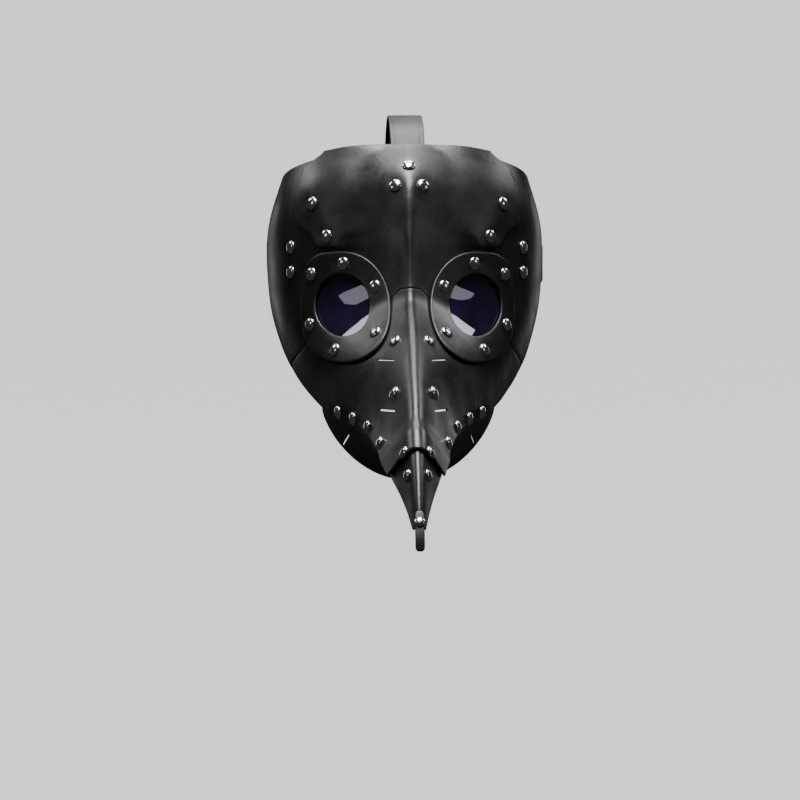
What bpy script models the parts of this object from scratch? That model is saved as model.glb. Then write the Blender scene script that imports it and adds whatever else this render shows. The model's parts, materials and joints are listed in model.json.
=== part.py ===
"""Plague doctor mask in riveted leather, with a three-strap harness and one roller buckle.

Metres, +Z up, the mask looks along -Y, the wearer's left is +X. The origin is the middle of the
wearer's head at eye height. Sizes below are millimetres; MM turns them into metres.

Every panel, ring, lens and rivet sits on one face surface: a loft of cross-sections, each running
from the central ridge (u = 0) to the rear or lower edge (u = 1), with v counting the stations from
the top of the forehead (0) down to the tip of the beak (9). Layers of leather are offsets from it.
"""

import math
from collections import namedtuple

import bmesh
import bpy
import numpy as np
from mathutils import Matrix, Vector

MM = 0.001

# Leather and gaps
LEATHER = 1.5
LAYER = 2.2
RING_TOP = LAYER + LEATHER
LAP = 10.0

# Rivets
HEAD_R = 4.2
HEAD_H = 2.0
HEAD_CLEARANCE = 0.5
BACK_R = 3.2
BACK_H = 0.8
SHANK_R = 1.4
HOLE_R = 2.0
RIVET_SIDES = 8

# Eyes, in the front view (x, z): widths across, and how much taller than wide they are
EYE = (42.5, 0.0)
EYE_TALL = 1.12
LENS_R = 19.2
LENS_T = 1.3
POCKET_R = 20.1
OPENING_R = 17.2
BACKING_R = 29.0
EYE_SIDES = 24
RING_NASAL, RING_TEMPLE, RING_UP, RING_DOWN = 29.3, 25.8, 33.5, 35.8

# Harness
STRAP_W = 22.0
STRAP_T = 2.0
STRAP_DEPTH = STRAP_T + 0.7
HEAD_HALF_W = 86.0
HEAD_BACK = 104.0
HEAD_POWER = 2.6
STRAP_Z_FRONT = 29.0
STRAP_Z_BACK = 21.0
HEEL_Y = 48.0
FOLD_R = 3.0
KEEPER_Y = 8.0
BAR_R = 1.5
BUCKLE_LENGTH = 21.0
BUCKLE_HALF_W = 13.8
ROLLER_R = 2.7
PRONG_R = 1.1

# One cross-section of the face surface: the ridge point, the edge point, the slope of the flank
# beside the ridge, the height of the narrow ridge, its crease radius, and how far the section
# wraps round the head (1) or stays a straight-walled beak (0).
Station = namedtuple(
    "Station", "ridge_y ridge_z edge_x edge_y edge_z slope ridge_h crease wrap"
)
STATIONS = [
    Station(-72, 102, 78, -18, 84, 0.10, 0.0, 16.0, 1.0),
    Station(-97, 78, 87, -10, 54, 0.12, 3.0, 6.0, 1.0),
    Station(-109, 46, 89, -6, 28, 0.15, 7.0, 4.0, 1.0),
    Station(-119, 10, 85, -14, -8, 0.32, 10.0, 3.2, 1.0),
    Station(-134, -5, 72, -44, -42, 0.80, 5.0, 3.2, 0.85),
    Station(-166, -25, 52, -92, -66, 1.15, 1.0, 3.2, 0.45),
    Station(-201, -52, 28, -152, -78, 1.55, 0.0, 3.0, 0.15),
    Station(-238, -86, 14, -219, -102, 1.45, 0.0, 2.8, 0.0),
    Station(-259, -110, 6.6, -248, -118, 1.45, 0.0, 2.4, 0.0),
    Station(-271, -128, 2.8, -266.5, -130, 1.3, 0.0, 2.0, 0.0),
]
RIDGE_WIDTH = 11.0

BRIDGE_V = 3.0
CHEVRON_V = 7.0
TIP_V = 9.0
TEMPLE_TOP_V = 0.12
PANEL_ROWS = (0, 0.25, 0.5, 0.75, 1.0, 1.25, 1.5, 1.7, 1.87, 1.98, 2.07, 2.2, 2.4, 2.7, BRIDGE_V)
LOWER_FROM_V = 4.85
LOWER_TO_V = 8.75
FLANGE = 11.0

COLLECTION = "plague_doctor_mask"
COLOURS = {
    "leather": ((0.020, 0.020, 0.021), 0.38, 0.0),
    "strap": ((0.024, 0.023, 0.023), 0.45, 0.0),
    "backing": ((0.035, 0.034, 0.034), 0.80, 0.0),
    "lens": ((0.030, 0.022, 0.045), 0.05, 0.0),
    "metal": ((0.78, 0.78, 0.80), 0.16, 1.0),
}


# ---------------------------------------------------------------- the face surface


def catmull(keys, t):
    """Keys at 0, 1, 2 ... read at t with a smooth curve through them."""
    keys = np.asarray(keys, float)
    last = len(keys) - 1
    i = int(min(max(math.floor(t), 0), last - 1))
    f = t - i
    before = keys[i - 1] if i else 2 * keys[0] - keys[1]
    after = keys[i + 2] if i + 2 <= last else 2 * keys[last] - keys[last - 1]
    p, q = keys[i], keys[i + 1]
    return 0.5 * (
        2 * p
        + (q - before) * f
        + (2 * before - 5 * p + 4 * q - after) * f * f
        + (3 * p - before - 3 * q + after) * f**3
    )


def read_curve(points, t):
    """The second number of (t, value) pairs, read between them with a smoothed straight line."""
    for (t0, a), (t1, b) in zip(points, points[1:]):
        if t <= t1:
            return a + (b - a) * smooth((t - t0) / (t1 - t0))
    return points[-1][1]


def smooth(t):
    """0 below 0, 1 above 1, and a smooth rise between."""
    t = min(max(t, 0.0), 1.0)
    return t * t * (3 - 2 * t)


def mix(a, b, t):
    return a + (b - a) * t


def bezier(b1, b2, t):
    """A cubic from 0 to 1 with inner handles b1 and b2."""
    return 3 * t * (1 - t) ** 2 * b1 + 3 * t * t * (1 - t) * b2 + t**3


def section(v):
    return Station(*catmull(STATIONS, v))


def face(u, v):
    """The point of the face surface at u and v, on the wearer's left half, in millimetres."""
    s = section(v)
    ridge = np.array([0.0, s.ridge_y, s.ridge_z])
    back = np.array([0.0, s.edge_y - s.ridge_y, s.edge_z - s.ridge_z])
    depth = np.linalg.norm(back)
    a1 = mix(0.33, 0.5, s.wrap)
    a2 = mix(0.70, 1.0, s.wrap)
    b1 = s.slope * a1 * s.edge_x / depth
    b2 = mix(0.67, 0.40, s.wrap)
    round_off = s.crease * depth * 3 * b1 / (3 * a1 * s.edge_x) ** 2
    round_off = min(0.6, round_off)
    r = math.sqrt(u * u + (1 - u * u) * round_off**2)
    start = bezier(b1, b2, round_off)
    x = s.edge_x * bezier(a1, a2, u)
    ridge_fall = 1 - math.exp(-(math.hypot(x, s.crease) - s.crease) / RIDGE_WIDTH)
    fall = (depth - s.ridge_h) * (bezier(b1, b2, r) - start) / (1 - start)
    fall += s.ridge_h * ridge_fall
    return ridge + back / depth * fall + np.array([x, 0.0, 0.0])


def normal(u, v):
    """The outward unit normal of the face surface at u and v."""
    du, dv = 0.004, 0.01
    u0, v0 = max(u, 0.0), min(max(v, 0.0), TIP_V)
    across = face(u0 + du, v0) - face(u0, v0)
    if u0 < du:
        across = np.array([1.0, 0.0, 0.0])
    down = face(u0, min(v0 + dv, TIP_V)) - face(u0, max(v0 - dv, 0.0))
    outward = np.cross(down, across)
    return outward / np.linalg.norm(outward)


def on_face(u, v, offset):
    return face(u, v) + normal(u, v) * offset


GRID_U = np.linspace(0, 1, 41)
GRID_V = np.linspace(0, TIP_V, 109)
FACE_GRID = [(u, v, face(u, v)) for v in GRID_V for u in GRID_U]
FACE_XZ = np.array([[p[0], p[2]] for _, _, p in FACE_GRID])


def locate(x, z, offset=0.0):
    """(u, v) whose point, raised by offset, is the one that the front view shows at x and z."""
    target = np.array([x, z])
    nearest = int(np.argmin(((FACE_XZ - target) ** 2).sum(1)))
    u, v, _ = FACE_GRID[nearest]
    step = 1e-3
    for _ in range(7):
        here = on_face(u, v, offset)[[0, 2]]
        by_u = (on_face(u + step, v, offset)[[0, 2]] - here) / step
        by_v = (on_face(u, v + step, offset)[[0, 2]] - here) / step
        move = np.linalg.lstsq(np.column_stack([by_u, by_v]), target - here, rcond=None)[0]
        u = min(max(u + move[0], 0.0), 1.0)
        v = min(max(v + move[1], 0.0), TIP_V)
    return u, v


def at_width(x, v):
    """The u of station v where the face surface is x wide."""
    low, high = 0.0, 1.0
    for _ in range(30):
        u = (low + high) / 2
        low, high = (u, high) if face(u, v)[0] < x else (low, u)
    return u


def settle(row, width):
    """The u and v on the row v = row(u) where the face surface is width(v) wide."""
    u = 0.3
    for _ in range(6):
        u = at_width(width(row(u)), row(u))
    return u, row(u)


# ---------------------------------------------------------------- building tools


def material(kind):
    found = bpy.data.materials.get(kind)
    if found:
        return found
    colour, roughness, metallic = COLOURS[kind]
    made = bpy.data.materials.new(kind)
    made.use_nodes = True
    shader = made.node_tree.nodes["Principled BSDF"]
    shader.inputs["Base Color"].default_value = (*colour, 1)
    shader.inputs["Roughness"].default_value = roughness
    shader.inputs["Metallic"].default_value = metallic
    made.diffuse_color = (*colour, 1)
    return made


def collection(name):
    found = bpy.data.collections.get(name)
    if not found:
        found = bpy.data.collections.new(name)
        bpy.context.scene.collection.children.link(found)
    return found


def place(name, data, kind, where=COLLECTION):
    obj = bpy.data.objects.new(name, data)
    collection(where).objects.link(obj)
    if kind:
        data.materials.append(material(kind))
    return obj


def smooth_shade(obj, degrees=35):
    obj.data.shade_smooth()
    obj.data.set_sharp_from_angle(angle=math.radians(degrees))


def sheet(rows, closed_rows=False, closed_columns=False):
    """A mesh of quads through rows of points, given in millimetres."""
    count = len(rows[0])
    points = [Vector(p) * MM for row in rows for p in row]
    faces = []
    for i in range(len(rows) if closed_columns else len(rows) - 1):
        j = (i + 1) % len(rows)
        for k in range(count if closed_rows else count - 1):
            m = (k + 1) % count
            faces.append((i * count + k, i * count + m, j * count + m, j * count + k))
    mesh = bpy.data.meshes.new("sheet")
    mesh.from_pydata(points, [], faces)
    return mesh


def turn_outward(mesh, outward):
    """Flips the mesh if its first face looks against the outward direction."""
    if mesh.polygons[0].normal.dot(Vector(outward)) < 0:
        mesh.flip_normals()


def leather(name, mesh, kind="leather", mirror=False, thickness=LEATHER, outward=(0, -1, 0)):
    """A sheet of leather on the mesh's outer side, mirrored about the middle where asked."""
    turn_outward(mesh, outward)
    obj = place(name, mesh, kind)
    if mirror:
        half = obj.modifiers.new("halves", "MIRROR")
        half.use_clip = True
        half.merge_threshold = 0.01 * MM
    solid = obj.modifiers.new("thickness", "SOLIDIFY")
    solid.thickness = thickness * MM
    solid.offset = 1
    solid.use_even_offset = True
    smooth_shade(obj)
    return obj


def posts(name, spots, radius, low, high, top=LEATHER, sides=8):
    """Cylinders for cutting along the normal at the spots (x, z) of the surface raised to top."""
    bm = bmesh.new()
    for spot in both_sides(spots):
        bmesh.ops.create_cone(
            bm,
            cap_ends=True,
            segments=sides,
            radius1=radius * MM,
            radius2=radius * MM,
            depth=(high - low) * MM,
            matrix=frame_at(spot, (low + high) / 2, top),
        )
    mesh = bpy.data.meshes.new(name)
    bm.to_mesh(mesh)
    bm.free()
    obj = place(name, mesh, None, "cutters")
    obj.hide_render = True
    obj.display_type = "WIRE"
    return obj


def eye_pockets():
    """A plug on each side that follows the face surface, to cut the round pocket of the lens."""
    bm = bmesh.new()
    for side in (1, -1):
        loops = []
        for offset in (-5, 5):
            ring = []
            for k in range(EYE_SIDES):
                point = around_eye(2 * math.pi * k / EYE_SIDES, POCKET_R, offset, side)
                ring.append(bm.verts.new(Vector(point) * MM))
            middle = bm.verts.new(Vector(around_eye(0, 0, offset, side)) * MM)
            for k, vert in enumerate(ring):
                bm.faces.new((ring[k - 1], vert, middle))
            loops.append(ring)
        for k in range(EYE_SIDES):
            bm.faces.new((loops[0][k - 1], loops[0][k], loops[1][k], loops[1][k - 1]))
    bmesh.ops.recalc_face_normals(bm, faces=bm.faces)
    mesh = bpy.data.meshes.new("eye_pocket_cutters")
    bm.to_mesh(mesh)
    bm.free()
    obj = place("eye_pocket_cutters", mesh, None, "cutters")
    obj.hide_render = True
    obj.display_type = "WIRE"
    return obj


def both_sides(spots):
    """The spots and their mirror images; one on the ridge stays single."""
    return [(side * x, z) for x, z in spots for side in ((1, -1) if x else (1,))]


def frame_at(spot, offset, top=LEATHER):
    """A matrix raised by offset, Z along the normal, where the surface at top shows at spot."""
    x, z = spot
    u, v = locate(abs(x), z, top)
    point, out = face(u, v), normal(u, v)
    if x < 0:
        point, out = point * [-1, 1, 1], out * [-1, 1, 1]
    if x == 0:
        point, out = point * [0, 1, 1], out * [0, 1, 1]
    out = Vector(out).normalized()
    rotation = out.to_track_quat("Z", "Y").to_matrix().to_4x4()
    return Matrix.Translation((Vector(point) + out * offset) * MM) @ rotation


def cut(obj, cutter):
    """Cuts the helper out of the object; the modifier goes last, after the thickness."""
    boolean = obj.modifiers.new("cut " + cutter.name, "BOOLEAN")
    boolean.operation = "DIFFERENCE"
    boolean.object = cutter
    return boolean


# ---------------------------------------------------------------- where the rivets are

EYE_RIVETS = [(61.5, 19.5), (41.5, 26.0), (22.0, 11.5), (22.2, -16.8), (47.0, -28.0), (62.5, -12.5)]
CROWN_RIVETS = [(0.0, 88.0), (8.8, 75.0)]
FOREHEAD_RIVETS = [(61.0, 64.5), (52.0, 43.5)]
TEMPLE_RIVETS = [(74.5, 37.0), (74.5, 21.0)]
BRIDGE_RIVETS = [(10.8, -22.0)]
NOSTRIL_RIVETS = [(12.2, -53.0)]
SEAM_UPPER_RIVETS = [(8.0, -86.5)]
SEAM_LOWER_RIVETS = [(6.3, -99.5)]
CHEEK_RIVET_V = (5.28, 5.62, 5.98, 6.38)
TIP_RIVET = (0.0, -122.5)
SLITS = [((16.5, -33.5), 10.5), ((16.5, -63.5), 9.0)]
LOWER_SLIT = ((37.0, -80.0), (41.5, -89.5))


def flange_u(v, width):
    """The u that lies the given width inside the edge of station v, or less where it's narrow."""
    s = section(v)
    depth = math.hypot(s.edge_y - s.ridge_y, s.edge_z - s.ridge_z)
    return 1 - min(width / math.hypot(s.edge_x, depth), 0.3)


CHEEK_RIVETS = [tuple(on_face(flange_u(v, 5.5), v, LEATHER)[[0, 2]]) for v in CHEEK_RIVET_V]


def forehead_edge(v):
    """Half the forehead panel's width at station v."""
    return read_curve(
        [(0.0, 52.0), (0.4, 65.0), (1.0, 70.0), (1.5, 68.5), (2.0, 58.0), (2.35, 48.0), (3.0, 31.0)], v
    )


def bridge_seam(u):
    """The station of the seam across the bridge: a low arch over the ridge."""
    return BRIDGE_V + 0.22 * smooth((u - 0.035) / 0.06)


def cheek_seam(u):
    """The station of the butt seam from the bridge, under the eye ring, to the edge of the cheek."""
    return bridge_seam(u) + 0.73 * smooth((u - 0.18) / 0.62)


def forehead_lap(u, v):
    """How far the forehead panel is lifted, 0 to 1, to lie over the temple panel's edge."""
    z = face(u, v)[2]
    inside = forehead_edge(v) - face(u, v)[0]
    rise = 4.5 + 0.9 * max(inside - LAP, 0.0)
    return smooth((z - 33.5) / rise) * smooth((LAP + 30 - inside) / 28)


# ---------------------------------------------------------------- the leather panels


def forehead_panel():
    """The brow, creased in the middle, from the bridge up to the hairline."""
    rows = []
    for level in PANEL_ROWS:
        rows.append([])
        sag = (level / BRIDGE_V) ** 4
        for share in (0, 0.07, 0.12, 0.19, 0.30, 0.44, 0.58, 0.68, 0.76, 0.84, 0.92, 1):
            u, v = settle(
                lambda u: level + sag * (bridge_seam(u) - BRIDGE_V - 0.02),
                lambda v: share * forehead_edge(v),
            )
            rows[-1].append(on_face(u, v, LAYER * forehead_lap(u, v)))
    obj = leather("forehead_panel", sheet(rows), mirror=True)
    cut(obj, eye_pockets())
    cut(obj, posts("crown_holes", CROWN_RIVETS, HOLE_R, -6, 6))
    cut(obj, posts("forehead_holes", FOREHEAD_RIVETS, HOLE_R, -6, 8, RING_TOP))
    cut(obj, posts("eye_holes", EYE_RIVETS, HOLE_R, -6, 8, RING_TOP))


def temple_front(v):
    """Where the temple panel starts: beside the forehead panel low down, lapped under it above."""
    edge = forehead_edge(v)
    z = face(at_width(edge, v), v)[2]
    return edge - mix(-0.9, LAP, smooth((z - 39) / 2.5))


def temple_panels():
    """One panel on each side, from under the forehead panel back to the ear."""
    for side, name in ((1, "temple_panel_left"), (-1, "temple_panel_right")):
        rows = []
        for level in (TEMPLE_TOP_V,) + PANEL_ROWS[1:]:
            sag = ((level - TEMPLE_TOP_V) / (BRIDGE_V - TEMPLE_TOP_V)) ** 4
            near, _ = settle(
                lambda u: level + sag * (cheek_seam(u) - BRIDGE_V - 0.015), temple_front
            )
            rows.append([])
            for u in np.linspace(near, 1, 10):
                v = level + sag * (cheek_seam(u) - BRIDGE_V - 0.015)
                rows[-1].append(on_face(u, v, 0) * [side, 1, 1])
        obj = leather(name, sheet(rows), outward=(side, -0.5, 0))
        for helper in ("eye_pocket_cutters", "forehead_holes", "eye_holes"):
            cut(obj, bpy.data.objects[helper])
        if side == 1:
            cut(obj, posts("temple_holes", TEMPLE_RIVETS, HOLE_R, -7, 7))
        else:
            cut(obj, bpy.data.objects["temple_holes"])


def beak_lift(v):
    """How far the beak panel is lifted, 0 to 1, to lie over the tip panel."""
    return smooth((v - 6.52) / 0.2)


def beak_upper_panel():
    """Both cheeks and the beak's flanks in one folded piece, from the bridge to the chevron seam."""
    rows = []
    for t in np.linspace(0, 1, 21):
        rows.append([])
        for u in (0, 0.035, 0.065, 0.1, 0.2, 0.31, 0.42, 0.53, 0.64, 0.75, 0.87, 1):
            v = mix(cheek_seam(u) + 0.015, CHEVRON_V, t)
            rows[-1].append(on_face(u, v, LAYER * beak_lift(v)))
    obj = leather("beak_upper_panel", sheet(rows), mirror=True)
    cut(obj, bpy.data.objects["eye_pocket_cutters"])
    cut(obj, bpy.data.objects["eye_holes"])
    cut(obj, posts("bridge_holes", BRIDGE_RIVETS + NOSTRIL_RIVETS, HOLE_R, -5, 6))
    cut(obj, posts("seam_upper_holes", SEAM_UPPER_RIVETS, HOLE_R, -5, 7, RING_TOP))
    cut(obj, posts("cheek_holes", CHEEK_RIVETS, HOLE_R, -5, 5))
    cut(obj, slit_cutters())


def slit_cutters():
    """Thin level blades for the breathing slits."""
    bm = bmesh.new()
    for spot, length in SLITS:
        for side in (1, -1):
            place_at = frame_at((side * spot[0], spot[1]), 0, LEATHER)
            across = Vector((1, 0, 0))
            out = place_at.to_3x3() @ Vector((0, 0, 1))
            level = Vector((-out.y, out.x, 0)).normalized()
            turn = Matrix((level, out.cross(level), out)).transposed().to_4x4()
            turn.translation = place_at.translation
            slant = abs(level.dot(across))
            size = Vector((length / slant, 1.3, 12)) * MM
            bmesh.ops.create_cube(bm, size=1, matrix=turn @ Matrix.Diagonal((*size, 1)))
    mesh = bpy.data.meshes.new("slits")
    bm.to_mesh(mesh)
    bm.free()
    obj = place("slits", mesh, None, "cutters")
    obj.hide_render = True
    obj.display_type = "WIRE"
    return obj


def beak_tip_panel():
    """The pointed end of the beak, lapped under the upper panel at the chevron seam."""
    rows = []
    for v in np.linspace(CHEVRON_V - 0.22, TIP_V, 9):
        rows.append([on_face(u, v, 0) for u in np.linspace(0, 1, 9) ** 1.15])
    obj = leather("beak_tip_panel", sheet(rows), mirror=True)
    cut(obj, bpy.data.objects["seam_upper_holes"])
    cut(obj, posts("seam_lower_holes", SEAM_LOWER_RIVETS, HOLE_R, -5, 5))
    cut(obj, posts("tip_hole", [TIP_RIVET], 1.7, -4, 7, RING_TOP))


def belly(v):
    """The middle of the lower panel at station v: the underside of beak and chin."""
    s = section(v)
    drop = read_curve([(4.8, 46.0), (5.4, 32.0), (6.0, 21.0), (7.0, 8.0), (9.0, 2.5)], v)
    forward = read_curve([(4.8, 8.0), (6.0, 4.0), (9.0, 0.0)], v)
    return np.array([0.0, s.edge_y - forward, s.edge_z - drop])


def lower_section(v, shares):
    """Points across the left half of the underside: its flange first, then shares of the trough."""
    flange = [on_face(flange_u(v, width), v, -LAYER) for width in (FLANGE, 5.5, 0.5)]
    corner = flange[2] + (flange[2] - flange[1]) * 0.25
    wall = (flange[2] - flange[1]) / np.linalg.norm(flange[2] - flange[1])
    middle = belly(v)
    first = corner + wall * np.linalg.norm(corner - middle) * 0.18
    second = middle + np.array([corner[0] * 0.7, 0.0, 0.0])
    curve = []
    for t in shares:
        near = corner * (1 - t) ** 3 + first * 3 * t * (1 - t) ** 2
        curve.append(near + second * 3 * t * t * (1 - t) + middle * t**3)
    return flange + [corner] + curve


def lower_beak_panel():
    """The underside: a trough whose edges stand inside the beak panel's lower edge."""
    rows = []
    for v in np.linspace(LOWER_FROM_V, LOWER_TO_V, 14):
        rows.append(lower_section(v, (0.2, 0.4, 0.6, 0.8, 1)))
    obj = leather("lower_beak_panel", sheet(rows), mirror=True, outward=(0.6, -0.6, -0.2))
    cut(obj, bpy.data.objects["cheek_holes"])
    cut(obj, lower_slit_cutters())


def lower_slit_cutters():
    """A blade on each side for the slanted slit of the underside, seen from in front."""
    shares = np.linspace(0.04, 0.6, 29)
    levels = np.linspace(LOWER_FROM_V + 0.1, 6.6, 60)
    points = np.array([lower_section(v, shares)[4:] for v in levels])
    (x0, z0), (x1, z1) = LOWER_SLIT
    aim = np.array([(x0 + x1) / 2, (z0 + z1) / 2])
    i, k = np.unravel_index(((points[..., [0, 2]] - aim) ** 2).sum(-1).argmin(), points.shape[:2])
    out = Vector(np.cross(points[i + 1, k] - points[i - 1, k], points[i, k + 1] - points[i, k - 1]))
    out = -out.normalized() if out.y > 0 else out.normalized()
    along = Vector((x1 - x0, 0, z1 - z0))
    along.y = -along.dot(out) / out.y
    turn = Matrix((along.normalized(), out.cross(along).normalized(), out)).transposed().to_4x4()
    turn.translation = Vector(points[i, k]) * MM
    size = Vector((along.length, 1.3, 9)) * MM
    bm = bmesh.new()
    bmesh.ops.create_cube(bm, size=1, matrix=turn @ Matrix.Diagonal((*size, 1)))
    flip = Matrix.Diagonal((-1, 1, 1, 1))
    bmesh.ops.create_cube(bm, size=1, matrix=flip @ turn @ Matrix.Diagonal((*size, 1)))
    bmesh.ops.recalc_face_normals(bm, faces=bm.faces)
    mesh = bpy.data.meshes.new("lower_slits")
    bm.to_mesh(mesh)
    bm.free()
    obj = place("lower_slits", mesh, None, "cutters")
    obj.hide_render = True
    obj.display_type = "WIRE"
    return obj


# ---------------------------------------------------------------- the eyes


def ring_reach(angle):
    """The eye ring's outline: round towards the nose, squarer towards the temple."""
    c, s = math.cos(angle), math.sin(angle)
    wide = RING_TEMPLE if c > 0 else RING_NASAL
    tall = (RING_UP if s > 0 else RING_DOWN) / EYE_TALL
    power = 2.05 if c < 0 else 3.4 if s > 0 else 2.7
    return (abs(c / wide) ** power + abs(s / tall) ** power) ** (-1 / power)


def around_eye(angle, reach, offset, side):
    x = EYE[0] + reach * math.cos(angle)
    z = EYE[1] + reach * math.sin(angle) * EYE_TALL
    return on_face(*locate(x, z, RING_TOP), offset) * [side, 1, 1]


def eyes():
    """On each side an outer ring, the lens in its pocket, and the ring that backs it."""
    angles = [2 * math.pi * k / EYE_SIDES for k in range(EYE_SIDES)]
    for side, word in ((1, "left"), (-1, "right")):
        ring = [
            [around_eye(a, mix(OPENING_R, ring_reach(a), t), LAYER, side) for a in angles]
            for t in (0, 0.5, 1)
        ]
        obj = leather("eye_ring_" + word, sheet(ring, closed_rows=True))
        cut(obj, bpy.data.objects["eye_holes"])
        backing = [
            [around_eye(a, r, -LAYER, side) for a in angles]
            for r in (OPENING_R + 0.6, mix(OPENING_R, BACKING_R, 0.5), BACKING_R)
        ]
        obj = leather("lens_backing_" + word, sheet(backing, closed_rows=True), "backing")
        cut(obj, bpy.data.objects["eye_holes"])
        lens(word, side, angles)


def lens(word, side, angles):
    """A thin tinted sheet, bent with the leather and caught between the two rings."""
    rings = [[around_eye(a, r, 0.1, side) for a in angles] for r in (10, LENS_R)]
    mesh = sheet(rings, closed_rows=True)
    bm = bmesh.new()
    bm.from_mesh(mesh)
    bm.verts.ensure_lookup_table()
    centre = bm.verts.new(Vector(around_eye(0, 0, 0.1, side)) * MM)
    inner = bm.verts[: len(angles)]
    for k, vert in enumerate(inner):
        bm.faces.new((inner[(k + 1) % len(inner)], vert, centre))
    bmesh.ops.recalc_face_normals(bm, faces=bm.faces)
    bm.to_mesh(mesh)
    bm.free()
    leather("lens_" + word, mesh, "lens", thickness=LENS_T)


# ---------------------------------------------------------------- rivets


def rivet_mesh(grip):
    """A domed rivet: head above 0, shank through the grip, cap below it."""
    outline = [
        (0, HEAD_H),
        (HEAD_R * 0.66, HEAD_H * 0.78),
        (HEAD_R, 0),
        (SHANK_R, 0),
        (SHANK_R, -grip),
        (BACK_R, -grip),
        (BACK_R, -grip - BACK_H),
        (0, -grip - BACK_H),
    ]
    return turned_mesh(outline)


def turned_mesh(outline):
    """A metal solid turned about Z from (radius, height) pairs, listed top to bottom."""
    mesh = bpy.data.meshes.new("rivet_outline")
    points = [(x * MM, 0, z * MM) for x, z in outline]
    mesh.from_pydata(points, [(k, k + 1) for k in range(len(points) - 1)], [])
    obj = bpy.data.objects.new("rivet_outline", mesh)
    bpy.context.scene.collection.objects.link(obj)
    screw = obj.modifiers.new("turn", "SCREW")
    screw.steps = screw.render_steps = RIVET_SIDES
    screw.use_merge_vertices = True
    screw.merge_threshold = 0.01 * MM
    bpy.context.view_layer.update()
    graph = bpy.context.evaluated_depsgraph_get()
    turned = bpy.data.meshes.new_from_object(obj.evaluated_get(graph))
    bpy.data.objects.remove(obj)
    turned.shade_smooth()
    turned.set_sharp_from_angle(angle=math.radians(40))
    turned.materials.append(material("metal"))
    return turned


def stud_mesh():
    """A small domed stud on a pin that ends inside the leather."""
    head, pin = HEAD_R * 0.72, 1.2
    return turned_mesh([(0, 1.4), (head * 0.66, 1.1), (head, 0), (pin, 0), (pin, -5.4), (0, -5.4)])


def rivets(name, spots, low, high, scale=1.0):
    """A rivet at each front-view spot and its mirror image, through the layers low to high."""
    template = rivet_mesh((high - low + 2 * HEAD_CLEARANCE) / scale)
    for side, word in ((1, "left"), (-1, "right")):
        for number, (x, z) in enumerate(spots, 1):
            if x or side == 1:
                label = f"{name}_{word}_{number}" if x else f"{name}_middle"
                rivet = place(label, template, None)
                seat = frame_at((side * x, z), high + HEAD_CLEARANCE, high)
                rivet.matrix_world = seat @ Matrix.Scale(scale, 4)


def all_rivets():
    """Every fastener of the face, each through the layers that it holds together."""
    rivets("eye_rivet", EYE_RIVETS, -LAYER, RING_TOP)
    rivets("temple_rivet", TEMPLE_RIVETS, -STRAP_DEPTH, LEATHER)
    rivets("cheek_rivet", CHEEK_RIVETS, -LAYER, LEATHER)
    rivets("crown_rivet", CROWN_RIVETS, -STRAP_DEPTH - 0.7, LEATHER)
    rivets("forehead_rivet", FOREHEAD_RIVETS, 0, RING_TOP)
    rivets("bridge_rivet", BRIDGE_RIVETS, 0, LEATHER)
    rivets("nostril_rivet", NOSTRIL_RIVETS, 0, LEATHER)
    rivets("seam_upper_rivet", SEAM_UPPER_RIVETS, 0, RING_TOP, 0.9)
    rivets("seam_lower_rivet", SEAM_LOWER_RIVETS, 0, LEATHER, 0.9)


# ---------------------------------------------------------------- the beak's tip strip


def tip_strip():
    """A narrow strip riveted over the beak's point, its end left standing past it."""
    path = [on_face(0.0, v, LAYER + 0.4) for v in (8.58, 8.72, 8.86, 9.0)]
    path += [np.array([0.0, -277.0, -134.5]), np.array([0.0, -279.0, -141.5])]
    rows = [[p + np.array([x, 0, 0]) for x in (-2.8, 2.8)] for p in path]
    obj = leather("beak_tip_strip", sheet(rows), thickness=LEATHER)
    cut(obj, bpy.data.objects["tip_hole"])
    stud = place("tip_rivet", stud_mesh(), None)
    stud.matrix_world = frame_at(TIP_RIVET, RING_TOP + 0.8, RING_TOP)


# ---------------------------------------------------------------- the harness


def head_line(y, side=1):
    """Where the side straps run beside and behind the head, in plan."""
    share = max(1 - abs(y / HEAD_BACK) ** HEAD_POWER, 0.0)
    return side * HEAD_HALF_W * share ** (1 / HEAD_POWER)


def strap_z(y):
    return mix(STRAP_Z_FRONT, STRAP_Z_BACK, smooth((y + 20) / 110))


def at_height(u, z):
    """The station at which the face surface, at u, is z high."""
    high, low = 1.0, 3.6
    for _ in range(30):
        v = (high + low) / 2
        high, low = (v, low) if face(u, v)[2] > z else (high, v)
    return v


def strap_rows_in_mask(side):
    """The strap's front end, lying against the inside of the temple panel."""
    rows = []
    for u in (0.60, 0.68, 0.76, 0.84, 0.92, 1.0):
        row = []
        for lift in (-STRAP_W / 2, 0, STRAP_W / 2):
            v = at_height(u, STRAP_Z_FRONT + lift)
            row.append(on_face(u, v, -STRAP_DEPTH + STRAP_T / 2) * [side, 1, 1])
        rows.append(row)
    return rows


def strap_row(point, half=STRAP_W / 2):
    """Three points across the strap, which stands upright at (x, y)."""
    x, y = point
    z = strap_z(y)
    return [np.array([x, y, z + lift]) for lift in (-half, 0, half)]


def strap(name, rows, kind="strap"):
    """A strap of even thickness, half of it to each side of the rows."""
    obj = place(name, sheet(rows), kind)
    solid = obj.modifiers.new("thickness", "SOLIDIFY")
    solid.thickness = STRAP_T * MM
    solid.offset = 0
    solid.use_even_offset = True
    smooth_shade(obj)
    return obj


def heel_frame():
    """The buckle's heel bar: its position, and the directions rearward and outward from it."""
    y = HEEL_Y
    tangent = Vector((head_line(y + 1) - head_line(y - 1), 2, 0)).normalized()
    outward = Vector((tangent.y, -tangent.x, 0))
    inner = Vector((head_line(y), y, strap_z(y)))
    return inner + outward * FOLD_R, tangent, outward


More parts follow.
